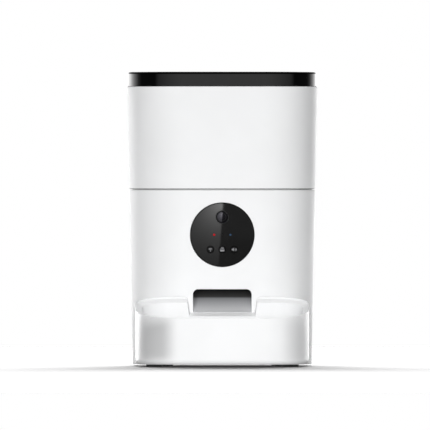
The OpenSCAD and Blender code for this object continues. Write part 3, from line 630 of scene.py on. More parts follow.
funnel_top = z_hopper + FUNNEL_HEIGHT
flange_top = z_deck + FLANGE_WALL
ledge = z_hopper + LEDGE_HEIGHT
lip_foot = z_hopper - LIP_HEIGHT
lip_out = WALL + SLIDE_GAP
lip_in = lip_out + LIP_WALL
hopper = moulding("hopper_moulding", "hopper", body_ring, [
    ("foot", z_hopper + SEAM_FALL, 0), ("rim", z_rim, 0), ("rim_in", z_rim, WALL),
    ("funnel", funnel_top, WALL), ("throat", z_deck + THROAT_HEIGHT, 0, SPIGOT_IN),
    ("spout_in", hopper_low.z, 0, SPIGOT_IN), ("spout_out", hopper_low.z, 0, SPIGOT_OUT),
    ("neck", z_deck, 0, SPIGOT_OUT), ("flange_low", z_deck, 0, FLANGE_OUT),
    ("flange_high", flange_top, 0, FLANGE_OUT), ("under", flange_top, 0, SPIGOT_OUT + FLANGE_STEP),
    ("armpit", funnel_top - FUNNEL_WALL, WALL), ("ledge", ledge, WALL), ("lip_root", ledge, lip_in),
    ("lip_in", lip_foot, lip_in), ("lip_out", lip_foot, lip_out), ("lip_top", z_hopper, lip_out),
    ("foot_in", z_hopper, SEAM_DEPTH),
], [("foot", SEAM_ROUND, 4), ("rim", 0.5 * MM, 3), ("rim_in", 0.6 * MM, 3), ("funnel", 6 * MM, 4),
    ("throat", 4 * MM, 4), ("spout_in spout_out", 0.6 * MM, 2), ("flange_low flange_high", 0.4 * MM, 2),
    ("lip_in lip_out", 0.4 * MM, 2)])
paint(hopper, white_shell)

# %% [markdown]
# The base shell is the same wall, open above and below. Four openings are cut in it: the bore of
# the panel, the mouth of the chute with rounded upper corners, the power socket at the back and the
# slot for the tray's tongue. The panel's frame leans with the front wall, so one matrix places the
# bore and, further down, everything that sits in it.

# %% Openings of the base shell
panel_low, panel_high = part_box("front_panel")
panel_radius = (panel_high.x - panel_low.x) / 2
panel_z = (panel_low.z + panel_high.z) / 2
lean = math.atan(draft)
# Local Z of the panel frame points into the body and local Y points down
panel_frame = (Matrix.Translation((0, body_y - half_width(panel_z), panel_z))
               @ Matrix.Rotation(lean, 4, "X") @ Matrix.Rotation(-math.pi / 2, 4, "X"))
socket_low, socket_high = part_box("dc_socket")
socket_z = (socket_low.z + socket_high.z) / 2
# Local Z of the socket's frame points into the body from the rear wall
socket_frame = (Matrix.Translation((0, body_y + half_width(socket_z), socket_z))
                @ Matrix.Rotation(math.pi / 2, 4, "X"))
SOCKET_RADIUS = 5.4 * MM
FIT_GAP = 0.15 * MM
MOUTH_WIDTH = 58.5 * MM
MOUTH_HEIGHT = 23.4 * MM
MOUTH_SILL = 53.8 * MM
MOUTH_CORNER = 5 * MM
TONGUE_WIDTH = 56 * MM
TONGUE_TOP = 4.4 * MM
# How far a cutter reaches to both sides of a wall's face
CUT_REACH = 8 * MM


def at_panel(x, y):
    return panel_frame @ Matrix.Translation((x, y, 0))


def round_cutter(radius, place):
    return drums("round_cutter", radius, -CUT_REACH, CUT_REACH, [place])


def wall_cutter(half, low, high, corner=None):
    """A block through the front wall, whose upper corners may be rounded."""
    bm = bmesh.new()
    front = body_y - half_width(low)
    block(bm, (-half, front - CUT_REACH, low), (half, front + CUT_REACH, high))
    if corner:
        round_edges(bm, block_corners(bm, 2, high), corner, 8)
    return loose(bm, "wall_cutter")


# %% [markdown]
# Inside the shell, four columns take the screws of the deck above and of the floor below. A rib
# ties each column to its corner, and four small bosses hold the carrier of the panel.

# %% Columns, ribs and bosses
DECK_WALL = 3 * MM
FLOOR_WALL = 3 * MM
SCREW_HEAD = 2.9 * MM
COLUMN_RADIUS = 4.5 * MM
RIB_WALL = 3 * MM
BOSS_RADIUS = 2.2 * MM
BOSS_OUT = 3.4 * MM
BOSS_ROOT = 0.6 * MM
BOARD_DEPTH = 6.0 * MM
z_floor = z_bottom + FLOOR_WALL
z_plate = z_deck - DECK_WALL
CORNERS = [(-1, -1), (1, -1), (1, 1), (-1, 1)]


def at_corners(distance):
    return [(x * distance, body_y + y * distance) for x, y in CORNERS]


column_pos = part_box("deck_screws")[1].x - SCREW_HEAD
column_feet = at_corners(column_pos)
boss_out = (panel_radius + BOSS_OUT) * math.sqrt(0.5)


def corner_ribs():
    bm = bmesh.new()
    inner = (column_pos - corner_mid) * math.sqrt(2)
    for x, y in CORNERS:
        made = block(bm, (inner, -RIB_WALL / 2, z_floor), (inner + CORNER, RIB_WALL / 2, z_plate))
        for v in made:
            if v.co.x > inner + CORNER / 2:
                v.co.x = half_width(v.co.z) - corner_mid - WALL / 2
        turn = Matrix.Rotation(math.atan2(y, x), 4, "Z")
        place = Matrix.Translation((x * corner_mid, body_y + y * corner_mid, 0))
        bmesh.ops.transform(bm, matrix=place @ turn, verts=made)
    return loose(bm, "corner_ribs")


# %% [markdown]
# The wall is lofted first, then cut, then its edges are broken. The columns, ribs and bosses are
# joined last, so that their own joints stay crisp.

# %% Base shell
base = moulding("base_moulding", "base_shell", body_ring, [
    ("foot", z_bottom, 0), ("brim", z_seam - SEAM_FALL, 0), ("brim_land", z_seam, SEAM_DEPTH),
    ("brim_in", z_seam, WALL), ("foot_in", z_bottom, WALL)], [("brim", SEAM_ROUND, 4)])
shape_with(base, [
    round_cutter(panel_radius + FIT_GAP, panel_frame),
    wall_cutter(MOUTH_WIDTH / 2, MOUTH_SILL, MOUTH_SILL + MOUTH_HEIGHT, MOUTH_CORNER),
    round_cutter(SOCKET_RADIUS + FIT_GAP, socket_frame),
    wall_cutter(TONGUE_WIDTH / 2 + SLIDE_GAP, z_bottom - CUT_REACH, TONGUE_TOP + SLIDE_GAP)], "DIFFERENCE")
break_edges(base, 0.45 * MM, 3)
shape_with(base, [
    drums("columns", COLUMN_RADIUS, z_floor, z_plate, upright(column_feet), 40), corner_ribs(),
    drums("panel_bosses", BOSS_RADIUS, WALL - BOSS_ROOT, BOARD_DEPTH,
          [at_panel(x * boss_out, y * boss_out) for x, y in CORNERS], 24)], "UNION")
paint(base, white_shell)

# %% [markdown]
# The tray is a deep scoop. In plan it is a rounded rectangle, tighter at the back than at the
# front, and its rim falls towards the pet. So the tray has a ring of its own: back and front
# corners are bevelled by different amounts, and the rings of the rim are sheared to its slope.

# %% Tray rings
TRAY_BACK_CORNER = 35 * MM
TRAY_FRONT_CORNER = 45 * MM
TONGUE_LENGTH = 12 * MM
RIM_LIP = 1.9 * MM
RIM_BACK = tray_high.z + RIM_LIP
RIM_FRONT = 48.8 * MM
tray_half = (tray_high.x - tray_low.x) / 2
tray_back = tray_high.y - TONGUE_LENGTH
tray_front = tray_low.y
tray_middle = (tray_back + tray_front) / 2
rim_slope = (RIM_BACK - RIM_FRONT) / (tray_back - tray_front)


def tray_ring(bm, z, inset, sloped=False):
    known = set(bm.edges)
    made = bmesh.ops.create_grid(bm, x_segments=1, y_segments=1, size=1.0)["verts"]
    half_length = (tray_back - tray_front) / 2
    bmesh.ops.scale(bm, vec=(tray_half - inset, half_length - inset, 1), verts=made)
    bmesh.ops.translate(bm, vec=(0, tray_middle, 0), verts=made)
    for corner, side in ((TRAY_BACK_CORNER, 1), (TRAY_FRONT_CORNER, -1)):
        made = [v for v in made if v.is_valid]
        round_corners(bm, [v for v in made if (v.co.y - tray_middle) * side > 0], corner - inset)
    edges = open_outline(bm, known)
    for v in {v for e in edges for v in e.verts}:
        v.co.z = z + (rim_slope * (v.co.y - tray_back) if sloped else 0.0)
    return edges


# %% [markdown]
# The notch behind, where the feed drops in, is a flared cut: wider and deeper on the bowl's side,
# so its edges keep the same sloping band as the rim. Its upper corners are rounded. A tongue at the
# back slides under the base and keeps the tray in line, and bosses carry the feet.

# %% Notch and tongue of the tray
RIM_CREST = 1.2 * MM
RIM_WIDTH = 5.0 * MM
RIM_DROP = 2.9 * MM
BOWL_FLOOR = 12 * MM
TRAY_WALL = 3 * MM
NOTCH_HALF = 34.4 * MM
NOTCH_SILL = 53.8 * MM
SILL_DROP = 4.2 * MM
NOTCH_TAPER = 2.2 * MM
NOTCH_FLARE = 1.0 * MM
NOTCH_ROUND = 3 * MM
# How far the notch is cut past the back wall, past the rim's width and above the rim
NOTCH_BEHIND, NOTCH_BEFORE, NOTCH_ABOVE = 1 * MM, 2 * MM, 12 * MM
ROUND_STEPS = 6
TONGUE_LIFT = 0.4 * MM
TONGUE_ROUND = 4 * MM
FOOT_RADIUS = 8.5 * MM
FOOT_HEIGHT = 3 * MM
BOSS_WALL = 1.6 * MM
BOSS_SINK = 1 * MM
# Places of the tray's feet: from the middle, and from the front or the back edge
tray_feet = [(side * (tray_half - 19 * MM), tray_front + 46 * MM) for side in (-1, 1)]
tray_feet += [(side * (tray_half - 26.5 * MM), tray_back - 26 * MM) for side in (-1, 1)]


def notch_side(side, half, sill, rim):
    """One side of the notch from its sill to above the rim, where its corner is rounded."""
    points = [(half - NOTCH_TAPER, sill), (half, rim - NOTCH_ROUND)]
    for i in range(1, ROUND_STEPS + 1):
        a = math.pi / 2 * i / ROUND_STEPS
        points.append((half + NOTCH_ROUND * (1 - math.cos(a)), rim - NOTCH_ROUND * (1 - math.sin(a))))
    points.append((half + NOTCH_ROUND, rim + NOTCH_ABOVE))
    return [(side * x, z) for x, z in points]


def notch_cutter():
    bm = bmesh.new()
    loops = []
    behind = (NOTCH_HALF, NOTCH_SILL, RIM_BACK)
    before = (NOTCH_HALF + NOTCH_FLARE, NOTCH_SILL - SILL_DROP, RIM_BACK - RIM_DROP)
    inner = tray_back - (RIM_WIDTH + RIM_CREST + NOTCH_BEFORE)
    for y, sizes in ((tray_back + NOTCH_BEHIND, behind), (inner, before)):
        outline = notch_side(1, *sizes) + notch_side(-1, *sizes)[::-1]
        loops.append(bm.faces.new([bm.verts.new((x, y, z)) for x, z in outline]))
    bmesh.ops.bridge_loops(bm, edges=[e for f in loops for e in f.edges])
    return loose(bm, "notch_cutter")


def tongue():
    bm = bmesh.new()
    block(bm, (-TONGUE_WIDTH / 2, tray_back - 2 * TRAY_WALL, z_bottom + TONGUE_LIFT),
          (TONGUE_WIDTH / 2, tray_high.y, TONGUE_TOP))
    round_edges(bm, block_corners(bm, 1, tray_high.y), TONGUE_ROUND, 6)
    return loose(bm, "tongue")


# %% [markdown]
# The walk of the tray runs from the hollow underside, round the foot, up the wall, over a narrow
# crest with a lip, down the sloping rim and the bowl's wall, and through a wide fillet onto the
# floor. It is cut, broken and joined in the same order as the base shell.

# %% Tray
SKIRT_LIFT = 0.5 * MM
SKIRT_LAND = 5.6 * MM
BOWL_WALL = 2.6 * MM
BOWL_LEAN = 3 * MM

skirt = z_bottom + SKIRT_LIFT
rim_in = RIM_CREST + RIM_WIDTH
tray = moulding("tray_moulding", "tray", tray_ring, [
    ("ceiling", BOWL_FLOOR - BOWL_WALL, SKIRT_LAND), ("skirt_in", skirt, SKIRT_LAND), ("skirt_out", skirt, 0),
    ("crest_out", RIM_BACK, 0, True), ("crest_in", RIM_BACK, RIM_CREST, True),
    ("lip_foot", RIM_BACK - RIM_LIP, RIM_CREST, True),
    ("rim_foot", RIM_BACK - RIM_LIP - RIM_DROP, rim_in, True), ("wall_foot", BOWL_FLOOR, rim_in + BOWL_LEAN),
], [("wall_foot", 9 * MM, 8), ("rim_foot", 0.6 * MM, 3), ("crest_out crest_in", 0.5 * MM, 3),
    ("skirt_out", 5 * MM, 7)], ("ceiling", "wall_foot"))
shape_with(tray, [notch_cutter()], "DIFFERENCE")
break_edges(tray, 0.5 * MM, 3)
shape_with(tray, [tongue(), drums("foot_bosses", FOOT_RADIUS + BOSS_WALL, FOOT_HEIGHT,
                                  BOWL_FLOOR - BOSS_SINK, upright(tray_feet), 48)], "UNION")
paint(tray, white_shell)

# %% [markdown]
# Soft rubber feet stand under the base and the tray. Each is turned with a rounded lower edge and a
# shallow dish, so that it rests on a ring as a real foot does.

# %% Feet
FOOT_ROUND = 0.9 * MM
FOOT_DISH = 0.5 * MM
DISH_RADIUS = 5.8 * MM
base_feet = at_corners(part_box("base_feet")[1].x - FOOT_RADIUS)
FOOT_CHAIN = [(0, FOOT_DISH), (DISH_RADIUS - FOOT_DISH, FOOT_DISH), (DISH_RADIUS, 0),
              *nose(FOOT_RADIUS, 0, FOOT_ROUND), (FOOT_RADIUS, FOOT_HEIGHT), (0, FOOT_HEIGHT)]


def turned_piece(name, solid, material, chain, places, steps=96, **extra):
    bm = bmesh.new()
    for place in places:
        turned(bm, chain, place, steps)
    paint(finish_mesh(bm, name, solid, **extra), material)


turned_piece("base_feet_turned", "base_feet", rubber, FOOT_CHAIN, upright(base_feet), 48)
turned_piece("tray_feet_turned", "tray_feet", rubber, FOOT_CHAIN, upright(tray_feet), 48)

# %% [markdown]
# The round panel is a polished disc set flush in the bore, with a small round on its edge. Seven
# holes go through it: for the lens, the two status lights and the three buttons, and a pin hole for
# the microphone in the middle. It is turned first and drilled afterwards.

# %% Front panel
PANEL_PROUD = 0.3 * MM
PANEL_THICK = 2 * MM
PANEL_ROUND = 0.7 * MM
LENS_UP = 17.6 * MM
LENS_RADIUS = 6.6 * MM
LIGHT_POS = 8.1 * MM
LIGHT_RADIUS = 1.1 * MM
BUTTON_RADIUS = 3.7 * MM
BUTTON_PITCH = 11.9 * MM
BUTTON_DOWN = 14.8 * MM
MIC_RADIUS = 0.7 * MM
DRILL_GAP = 0.1 * MM

disc = bmesh.new()
turned(disc, capped(panel_radius, -PANEL_PROUD, PANEL_ROUND, (panel_radius, PANEL_THICK - PANEL_PROUD)),
       panel_frame, steps=128)
panel = finish_mesh(disc, "panel_disc", "front_panel")
holes = [(0, -LENS_UP, LENS_RADIUS + DRILL_GAP), (-LIGHT_POS, 0, LIGHT_RADIUS + DRILL_GAP),
         (LIGHT_POS, 0, LIGHT_RADIUS + DRILL_GAP), (0, 0, MIC_RADIUS)]
holes += [(i * BUTTON_PITCH, BUTTON_DOWN, BUTTON_RADIUS + FIT_GAP) for i in (-1, 0, 1)]
shape_with(panel, [round_cutter(r, at_panel(x, y)) for x, y, r in holes], "DIFFERENCE")
break_edges(panel, 0.15 * MM, 2)
paint(panel, panel_gloss)

# %% [markdown]
# The camera looks out through a small bezel, turned with a slope that leads down to the glass. The
# glass is a shallow dome: an arc of a large radius, spun about the same axis.

# %% Camera lens
BEZEL_WALL = 1.3 * MM
BEZEL_SLOPE = 0.8 * MM
BEZEL_ROUND = 0.25 * MM
DOME_RADIUS = 120 * MM
DOME_STEPS = 12
LENS_GAP = 0.05 * MM
WEB_DEPTH = 3.6 * MM

lens_place = [at_panel(0, -LENS_UP)]
bezel_in = LENS_RADIUS - BEZEL_WALL
turned_piece("lens_ring", "lens_bezel", finishes["black_plastic"],
             [(bezel_in, WEB_DEPTH), (bezel_in, BEZEL_SLOPE), (bezel_in + BEZEL_SLOPE, -PANEL_PROUD),
              *nose(LENS_RADIUS, -PANEL_PROUD, BEZEL_ROUND), (LENS_RADIUS, WEB_DEPTH), (bezel_in, WEB_DEPTH)],
             lens_place)
glass_radius = bezel_in - LENS_GAP
dome_reach = math.asin(glass_radius / DOME_RADIUS)
dome_angles = [dome_reach * i / DOME_STEPS for i in range(DOME_STEPS + 1)]
dome = [(DOME_RADIUS * math.sin(a), DOME_RADIUS * (1 - math.cos(a))) for a in dome_angles]
turned_piece("lens_dome", "lens_glass", lens_coated, dome + [(glass_radius, WEB_DEPTH), (0, WEB_DEPTH)],
             lens_place)

# %% [markdown]
# Two light pipes carry the status lights from the board to the panel. Each has a rounded tip just
# behind the surface, and a collar that stops it against the carrier.

# %% Status lights
TIP_FRONT = 0.1 * MM - PANEL_PROUD
TIP_ROUND = 0.5 * MM
COLLAR = 0.7 * MM
PIPE_BACK = 5.1 * MM
PIPE_CHAIN = capped(LIGHT_RADIUS, TIP_FRONT, TIP_ROUND, (LIGHT_RADIUS, WEB_DEPTH),
                    (LIGHT_RADIUS + COLLAR, WEB_DEPTH), (LIGHT_RADIUS + COLLAR, WEB_DEPTH + COLLAR),
                    (LIGHT_RADIUS, WEB_DEPTH + COLLAR), (LIGHT_RADIUS, PIPE_BACK))

for solid, x in (("power_light", -LIGHT_POS), ("network_light", LIGHT_POS)):
    turned_piece(solid + "_pipe", solid, finishes[slot_of[solid]], PIPE_CHAIN, [at_panel(x, 0)], 32)

# %% [markdown]
# The three buttons are turned caps with a flange that keeps them behind the panel and a stem that
# meets the switch. Each rides on a moving body of its own, so it is a piece of its own.

# %% Buttons
CAP_FRONT = -0.7 * MM
CAP_ROUND = 0.45 * MM
FLANGE = 0.8 * MM
FLANGE_FRONT = WEB_DEPTH + 0.1 * MM
FLANGE_BACK = WEB_DEPTH + FLANGE
STEM_RADIUS = 1.5 * MM
STEM_BACK = 4.7 * MM
CAP_CHAIN = capped(BUTTON_RADIUS, CAP_FRONT, CAP_ROUND, (BUTTON_RADIUS, FLANGE_FRONT),
                   (BUTTON_RADIUS + FLANGE, FLANGE_FRONT), (BUTTON_RADIUS + FLANGE, FLANGE_BACK),
                   (STEM_RADIUS, FLANGE_BACK), (STEM_RADIUS, STEM_BACK))
button_places = {side + "_button": at_panel(i * BUTTON_PITCH, BUTTON_DOWN)
                 for side, i in (("left", -1), ("middle", 0), ("right", 1))}

for button, place in button_places.items():
    turned_piece(button + "_cap", button, button_black, CAP_CHAIN, [place], 64)

# %% [markdown]
# Printed signs on the caps say what the buttons do: a network fan, a bowl with feed, a loudspeaker.
# A print is a film of ink, so each sign is a set of thin plates that stand a few hundredths of a
# millimetre proud. Plates are extruded outlines, dots are thin drums, and arcs are spun bars.

# %% Signs on the buttons
INK_FRONT = CAP_FRONT - 0.04 * MM
INK_BACK = CAP_FRONT + 0.02 * MM
INK_LINE = 0.55 * MM
INK_STEPS = 14
# In millimetres, x to the right and y down: plates by their outlines, dots by place and radius, arcs by
# place and radius and by the degrees of their middle and sweep, where 0 points right and 90 down
SIGNS = {
    "left_button": ([], [(0, 1.35, 0.5)], [(0, 1.35, r, -90, 92) for r in (1.4, 2.5)]),
    "middle_button": ([[(-2.5, 0.1), (2.5, 0.1), (1.75, 1.9), (-1.75, 1.9)]],
                      [(x, y, 0.48) for x, y in ((-1.25, -0.75), (0.0, -0.9), (1.25, -0.75), (-0.6, -1.85),
                                                 (0.65, -1.85))], []),
    "right_button": ([[(-2.4, -0.7), (-1.5, -0.7), (-0.2, -1.8), (-0.2, 1.8), (-1.5, 0.7), (-2.4, 0.7)]],
                     [], [(-0.1, 0, r, 0, 84) for r in (1.1, 2.2)]),
}


def ink_plate(bm, outline):
    face = bm.faces.new([bm.verts.new((x * MM, y * MM, INK_BACK)) for x, y in outline])
    made = bmesh.ops.extrude_face_region(bm, geom=[face])["geom"]
    raised = [v for v in made if isinstance(v, bmesh.types.BMVert)]
    bmesh.ops.translate(bm, verts=raised, vec=(0, 0, INK_FRONT - INK_BACK))


def ink_arc(bm, x, y, radius, middle, sweep):
    known = set(bm.verts)
    near, far = radius * MM - INK_LINE / 2, radius * MM + INK_LINE / 2
    corners = [bm.verts.new((r, 0, z)) for r, z in ((near, INK_FRONT), (far, INK_FRONT),
                                                   (far, INK_BACK), (near, INK_BACK))]
    edges = [bm.edges.new((corners[i], corners[i - 1])) for i in range(4)]
    turn = Matrix.Rotation(math.radians(middle - sweep / 2), 4, "Z")
    bmesh.ops.transform(bm, matrix=turn, verts=corners)
    bmesh.ops.spin(bm, geom=corners + edges, cent=(0, 0, 0), axis=(0, 0, 1), dvec=(0, 0, 0),
                   angle=math.radians(sweep), steps=INK_STEPS)
    made = [v for v in bm.verts if v not in known]
    ends = [e for e in {e for v in made for e in v.link_edges} if e.is_boundary]
    bmesh.ops.holes_fill(bm, edges=ends, sides=4)
    bmesh.ops.translate(bm, verts=made, vec=(x * MM, y * MM, 0))


for button, (plates, dots, arcs) in SIGNS.items():
    sign = bmesh.new()
    for outline in plates:
        ink_plate(sign, outline)
    for x, y, radius in dots:
        drum(sign, radius * MM, INK_FRONT, INK_BACK, Matrix.Translation((x * MM, y * MM, 0)), 20)
    for arc in arcs:
        ink_arc(sign, *arc)
    bmesh.ops.transform(sign, matrix=button_places[button], verts=sign.verts)
    paint(finish_mesh(sign, button + "_sign", None, body=button, slot="light_plastic"), sign_ink)

# %% [markdown]
# The power socket at the back is turned too: a collar in the wall, a lead-in round the bore and a
# flange inside. Its contact pin is a separate turning of brass.

# %% Power socket
SOCKET_PROUD = 0.4 * MM
SOCKET_BACK = 14 * MM - SOCKET_PROUD
SOCKET_ROUND = 0.3 * MM
SOCKET_BORE = 2.75 * MM
SOCKET_DEPTH = 9 * MM
LEAD_IN, LEAD_DEPTH = 0.7 * MM, 0.3 * MM
SOCKET_FLANGE = 7.6 * MM
FLANGE_DEPTH = WALL + 0.3 * MM
FLANGE_END = FLANGE_DEPTH + 2 * MM
PIN_RADIUS = 1 * MM
PIN_FRONT = 1 * MM
PIN_BACK = SOCKET_DEPTH + 0.5 * MM
PIN_ROUND = 0.6 * MM

turned_piece("socket_body", "dc_socket", finishes["black_plastic"],
             [(0, SOCKET_DEPTH), (SOCKET_BORE, SOCKET_DEPTH), (SOCKET_BORE, LEAD_DEPTH),
              (SOCKET_BORE + LEAD_IN, -SOCKET_PROUD), *nose(SOCKET_RADIUS, -SOCKET_PROUD, SOCKET_ROUND),
              (SOCKET_RADIUS, FLANGE_DEPTH), (SOCKET_FLANGE, FLANGE_DEPTH), (SOCKET_FLANGE, FLANGE_END),
              (SOCKET_RADIUS, FLANGE_END), (SOCKET_RADIUS, SOCKET_BACK), (0, SOCKET_BACK)],
             [socket_frame], 64)
turned_piece("socket_pin", None, brass, capped(PIN_RADIUS, PIN_FRONT, PIN_ROUND, (PIN_RADIUS, PIN_BACK)),
             [socket_frame], 32, body="base", slot="brass")

# %% [markdown]
# The pieces inside come into view when the lid, the hopper or the tray is taken away. Their forms
# in the solid model are right, so a copy of each is enough: its triangles are merged into whole
# faces and its sharp edges get the narrow round that every moulding has.

# %% Moulded copies of the inner pieces
FLAT_ANGLE = math.radians(0.6)
SHARP_ANGLE = math.radians(30)


def softened(solid, width, finish=None):
    bm = bmesh.new()
    bm.from_mesh(frame["nodes"][solid].data)
    bmesh.ops.remove_doubles(bm, verts=bm.verts, dist=WELD)
    bmesh.ops.dissolve_limit(bm, angle_limit=FLAT_ANGLE, verts=bm.verts, edges=bm.edges)
    sharp = [e for e in bm.edges if len(e.link_faces) == 2 and e.calc_face_angle() > SHARP_ANGLE]
    round_edges(bm, sharp, width, 2)
    paint(finish_mesh(bm, solid + "_moulded", solid), finish or finishes[slot_of[solid]])


for solid, width in (("dispenser_deck", 0.5 * MM), ("portion_baffle", 0.5 * MM),
                     ("base_floor", 0.4 * MM), ("battery_cover", 0.3 * MM),
                     ("desiccant_cup", 0.4 * MM), ("rotor_hub", 0.5 * MM),
                     ("rotor_blades", 0.6 * MM), ("agitator", 0.4 * MM), ("lid_seal", 0.3 * MM)):
    softened(solid, width)

# %% [markdown]
# The chute is seen through the mouth. Its colour is painted shade by height: nearly white at the
# sill, greyer up to its knee, where the slide ends, and almost black in the throat above, so that the mouth
# looks deep.

# %% Chute
CHUTE_KNEE = MOUTH_SILL + 15 * MM
KNEE_REACH = 12 * MM
CHUTE_SHADE_TONES = [(0.0, (0.8, 0.805, 0.82)), (0.46, (0.29, 0.295, 0.31)), (0.53, (0.07, 0.07, 0.07)),
               (1.0, (0.012, 0.012, 0.012))]

# Painted shade: the chute darkens with height, from light at the sill to near black in the throat.
throat, tree = new_material("chute_throat")
height = step(tree, "SeparateXYZ", {0: where(tree)}, "Z")
reach = mapped(tree, height, CHUTE_KNEE - KNEE_REACH, CHUTE_KNEE + KNEE_REACH, 0, 1)
grain = noise(tree, GRAIN)
shade(tree, {"Base Color": ramp(tree, reach, CHUTE_SHADE_TONES), "Roughness": spread(tree, grain, 0.4, 0.5),
             "Normal": grain_bump(tree, grain, GRAIN_BUMP, GRAIN_DEPTH)})
softened("chute", 0.4 * MM, throat)

# %% [markdown]
# Screws show on the deck and under the floor. Each is turned with a rounded head, and a cross is cut
# into the head with two bars.

# %% Screws
SCREW_RADIUS = 1.5 * MM
HEAD_HEIGHT = 1.8 * MM
HEAD_ROUND = 0.6
CROSS = (3.4 * MM, 0.8 * MM)
CROSS_DEPTH = 1.0 * MM
CROSS_ABOVE = 1.0 * MM
FLOOR_SINK = 1.0 * MM
TAB_HEAD = 2.8 * MM
TAB_HEIGHT = 1.2 * MM


def make_screws(solid, places, length, head_radius, head_height):
    """Screws in a frame each: the head lies before the frame's origin, the shank runs along +Z."""
    bm = bmesh.new()
    chain = capped(head_radius, -head_height, head_height * HEAD_ROUND, (head_radius, 0), (SCREW_RADIUS, 0),
                   (SCREW_RADIUS, length))
    for place in places:
        turned(bm, chain, place, steps=32)
    piece = finish_mesh(bm, solid + "_turned", solid)
    bars = []
    for wide, deep in (CROSS, CROSS[::-1]):
        bar = bmesh.new()
        for place in places:
            made = block(bar, (-wide / 2, -deep / 2, -head_height - CROSS_ABOVE),
                         (wide / 2, deep / 2, CROSS_DEPTH - head_height))
            bmesh.ops.transform(bar, matrix=place, verts=made)
        bars.append(loose(bar, "cross_bar"))
    shape_with(piece, bars, "DIFFERENCE")
    paint(piece, steel)


head_up = Matrix.Rotation(math.pi, 4, "X")
make_screws("deck_screws", [place @ head_up for place in upright(column_feet, z_deck)],
            13 * MM, SCREW_HEAD, HEAD_HEIGHT)
make_screws("floor_screws", upright(column_feet, z_floor - FLOOR_SINK), 12 * MM, SCREW_HEAD, HEAD_HEIGHT)
tab_low, tab_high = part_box("battery_screws")
tabs = [(side * (tab_high.x - TAB_HEAD), (tab_low.y + tab_high.y) / 2) for side in (-1, 1)]
make_screws("battery_screws", upright(tabs, tab_low.z + TAB_HEIGHT), 5 * MM, TAB_HEAD, TAB_HEIGHT)

# %% [markdown]
# The studio. To the camera the surround is plain white. To a reflection it is a ring of low walls:
# white before the object, dark at both sides, bright strips behind. That is how a glossy lid is
# lit, and it draws the dark corners and the bright edges. Above the walls it is dim, so the top of
# the lid stays black from a raised camera. To all other light it is dim too, which leaves the
# shading of the white shells to the lamps.

# %% World
AMBIENT = 0.06
# Brightness of the walls by azimuth from the front, as reflections see them
WALLS = [(0, 1.0), (14, 0.92), (36, 0.7), (57, 0.42), (66, 0.05), (103, 0.05), (112, 0.25), (126, 1.6),
         (146, 3.8), (166, 2.8), (180, 1.5)]
WALL_PEAK = 4.0
WALL_TURN = math.radians(6)
# The walls fade between these heights, given as the sine of the elevation, to this share
WALL_FADE = (0.12, 0.2)
CEILING = 0.05


def math_step(tree, operation, *values):
    return step(tree, "Math", dict(enumerate(values)), operation=operation)


def ray(tree, kind):
    return step(tree, "LightPath", output="Is " + kind + " Ray")


def seen(tree):
    """One for what the camera sees, directly or through glass."""
    return math_step(tree, "MAXIMUM", ray(tree, "Camera"), ray(tree, "Transmission"))


def studio_walls(tree):
    """Brightness of the ring of walls in the direction of a ray."""
    parts = tree.nodes.new("ShaderNodeSeparateXYZ")
    feed(tree, parts.inputs, {0: step(tree, "VectorRotate", {
        "Vector": step(tree, "TexCoord", output="Generated"), "Angle": -WALL_TURN}, rotation_type="Z_AXIS")})
    side = math_step(tree, "ABSOLUTE", parts.outputs["X"])
    ahead = math_step(tree, "MULTIPLY", parts.outputs["Y"], -1.0)
    azimuth = math_step(tree, "DIVIDE", math_step(tree, "ARCTAN2", side, ahead), math.pi)
    bright = ramp(tree, azimuth, [(angle / 180, (level / WALL_PEAK,) * 3) for angle, level in WALLS])
    height = math_step(tree, "ABSOLUTE", parts.outputs["Z"])
    return math_step(tree, "MULTIPLY", bright,
                     mapped(tree, height, *WALL_FADE, WALL_PEAK, WALL_PEAK * CEILING))


scene.world = bpy.data.worlds.new("studio")
scene.world.use_nodes = True
tree = scene.world.node_tree
shiny = math_step(tree, "MULTIPLY", ray(tree, "Glossy"), studio_walls(tree))
soft = math_step(tree, "MULTIPLY", ray(tree, "Diffuse"), AMBIENT)
strength = math_step(tree, "ADD", math_step(tree, "ADD", seen(tree), shiny), soft)
feed(tree, tree.nodes["Background"].inputs, {"Color": (1, 1, 1, 1), "Strength": strength})
print("studio walls up to", max(level for angle, level in WALLS))

# %% [markdown]
# Lamps are given by their place round the body: an azimuth from the front, an elevation and a
# distance. Most are soft boxes. Their brightness is written as radiance, so that a larger box only
# lights more. Narrow spots add what the boxes can't reach: the left of the body above the tray, the
# sides of the tray, which two of them graze from behind, and the left of the bowl, over its rim.
# All lamps stay out of reflections, which have the walls of the studio instead.

# %% Lamps
LAMP_AIM = Vector((0, body_y, 0.15))
# Azimuth, elevation, distance, width, height, radiance
SOFT_BOXES = {
    "key": (-2.5, 3, 2.4, 0.9, 0.9, 22.3), "low_fill": (0, -5, 1.0, 0.8, 0.16, 2.6),
    "overhead": (0, 90, 2.3, 1.6, 1.6, 1.6), "rim_left": (-140, 8, 0.9, 0.4, 0.9, 3.8),
    "rim_right": (140, 8, 0.9, 0.4, 0.9, 1.8), "rear_fill": (180, 10, 1.6, 0.9, 0.9, 2.3),
}
SPOT_BLEND = 0.6
SPOT_SIZE = 0.12
SIDE_AIM = Vector((-half_width(z_seam), body_y, 0.17))
BOWL_AIM = Vector((-0.85 * tray_half, tray_back - 40 * MM, 56 * MM))
# From the middle of the tray's side to the lamp that grazes it, outwards, back and up
EDGE_LAMP = (0.53, 0.6, 0.08)


def around(azimuth, elevation, distance):
    a, e = math.radians(azimuth), math.radians(elevation)
    return LAMP_AIM + distance * Vector((math.sin(a) * math.cos(e), -math.cos(a) * math.cos(e), math.sin(e)))


def hide_from(thing, *rays):
    for kind in rays:
        setattr(thing, "visible_" + kind, False)


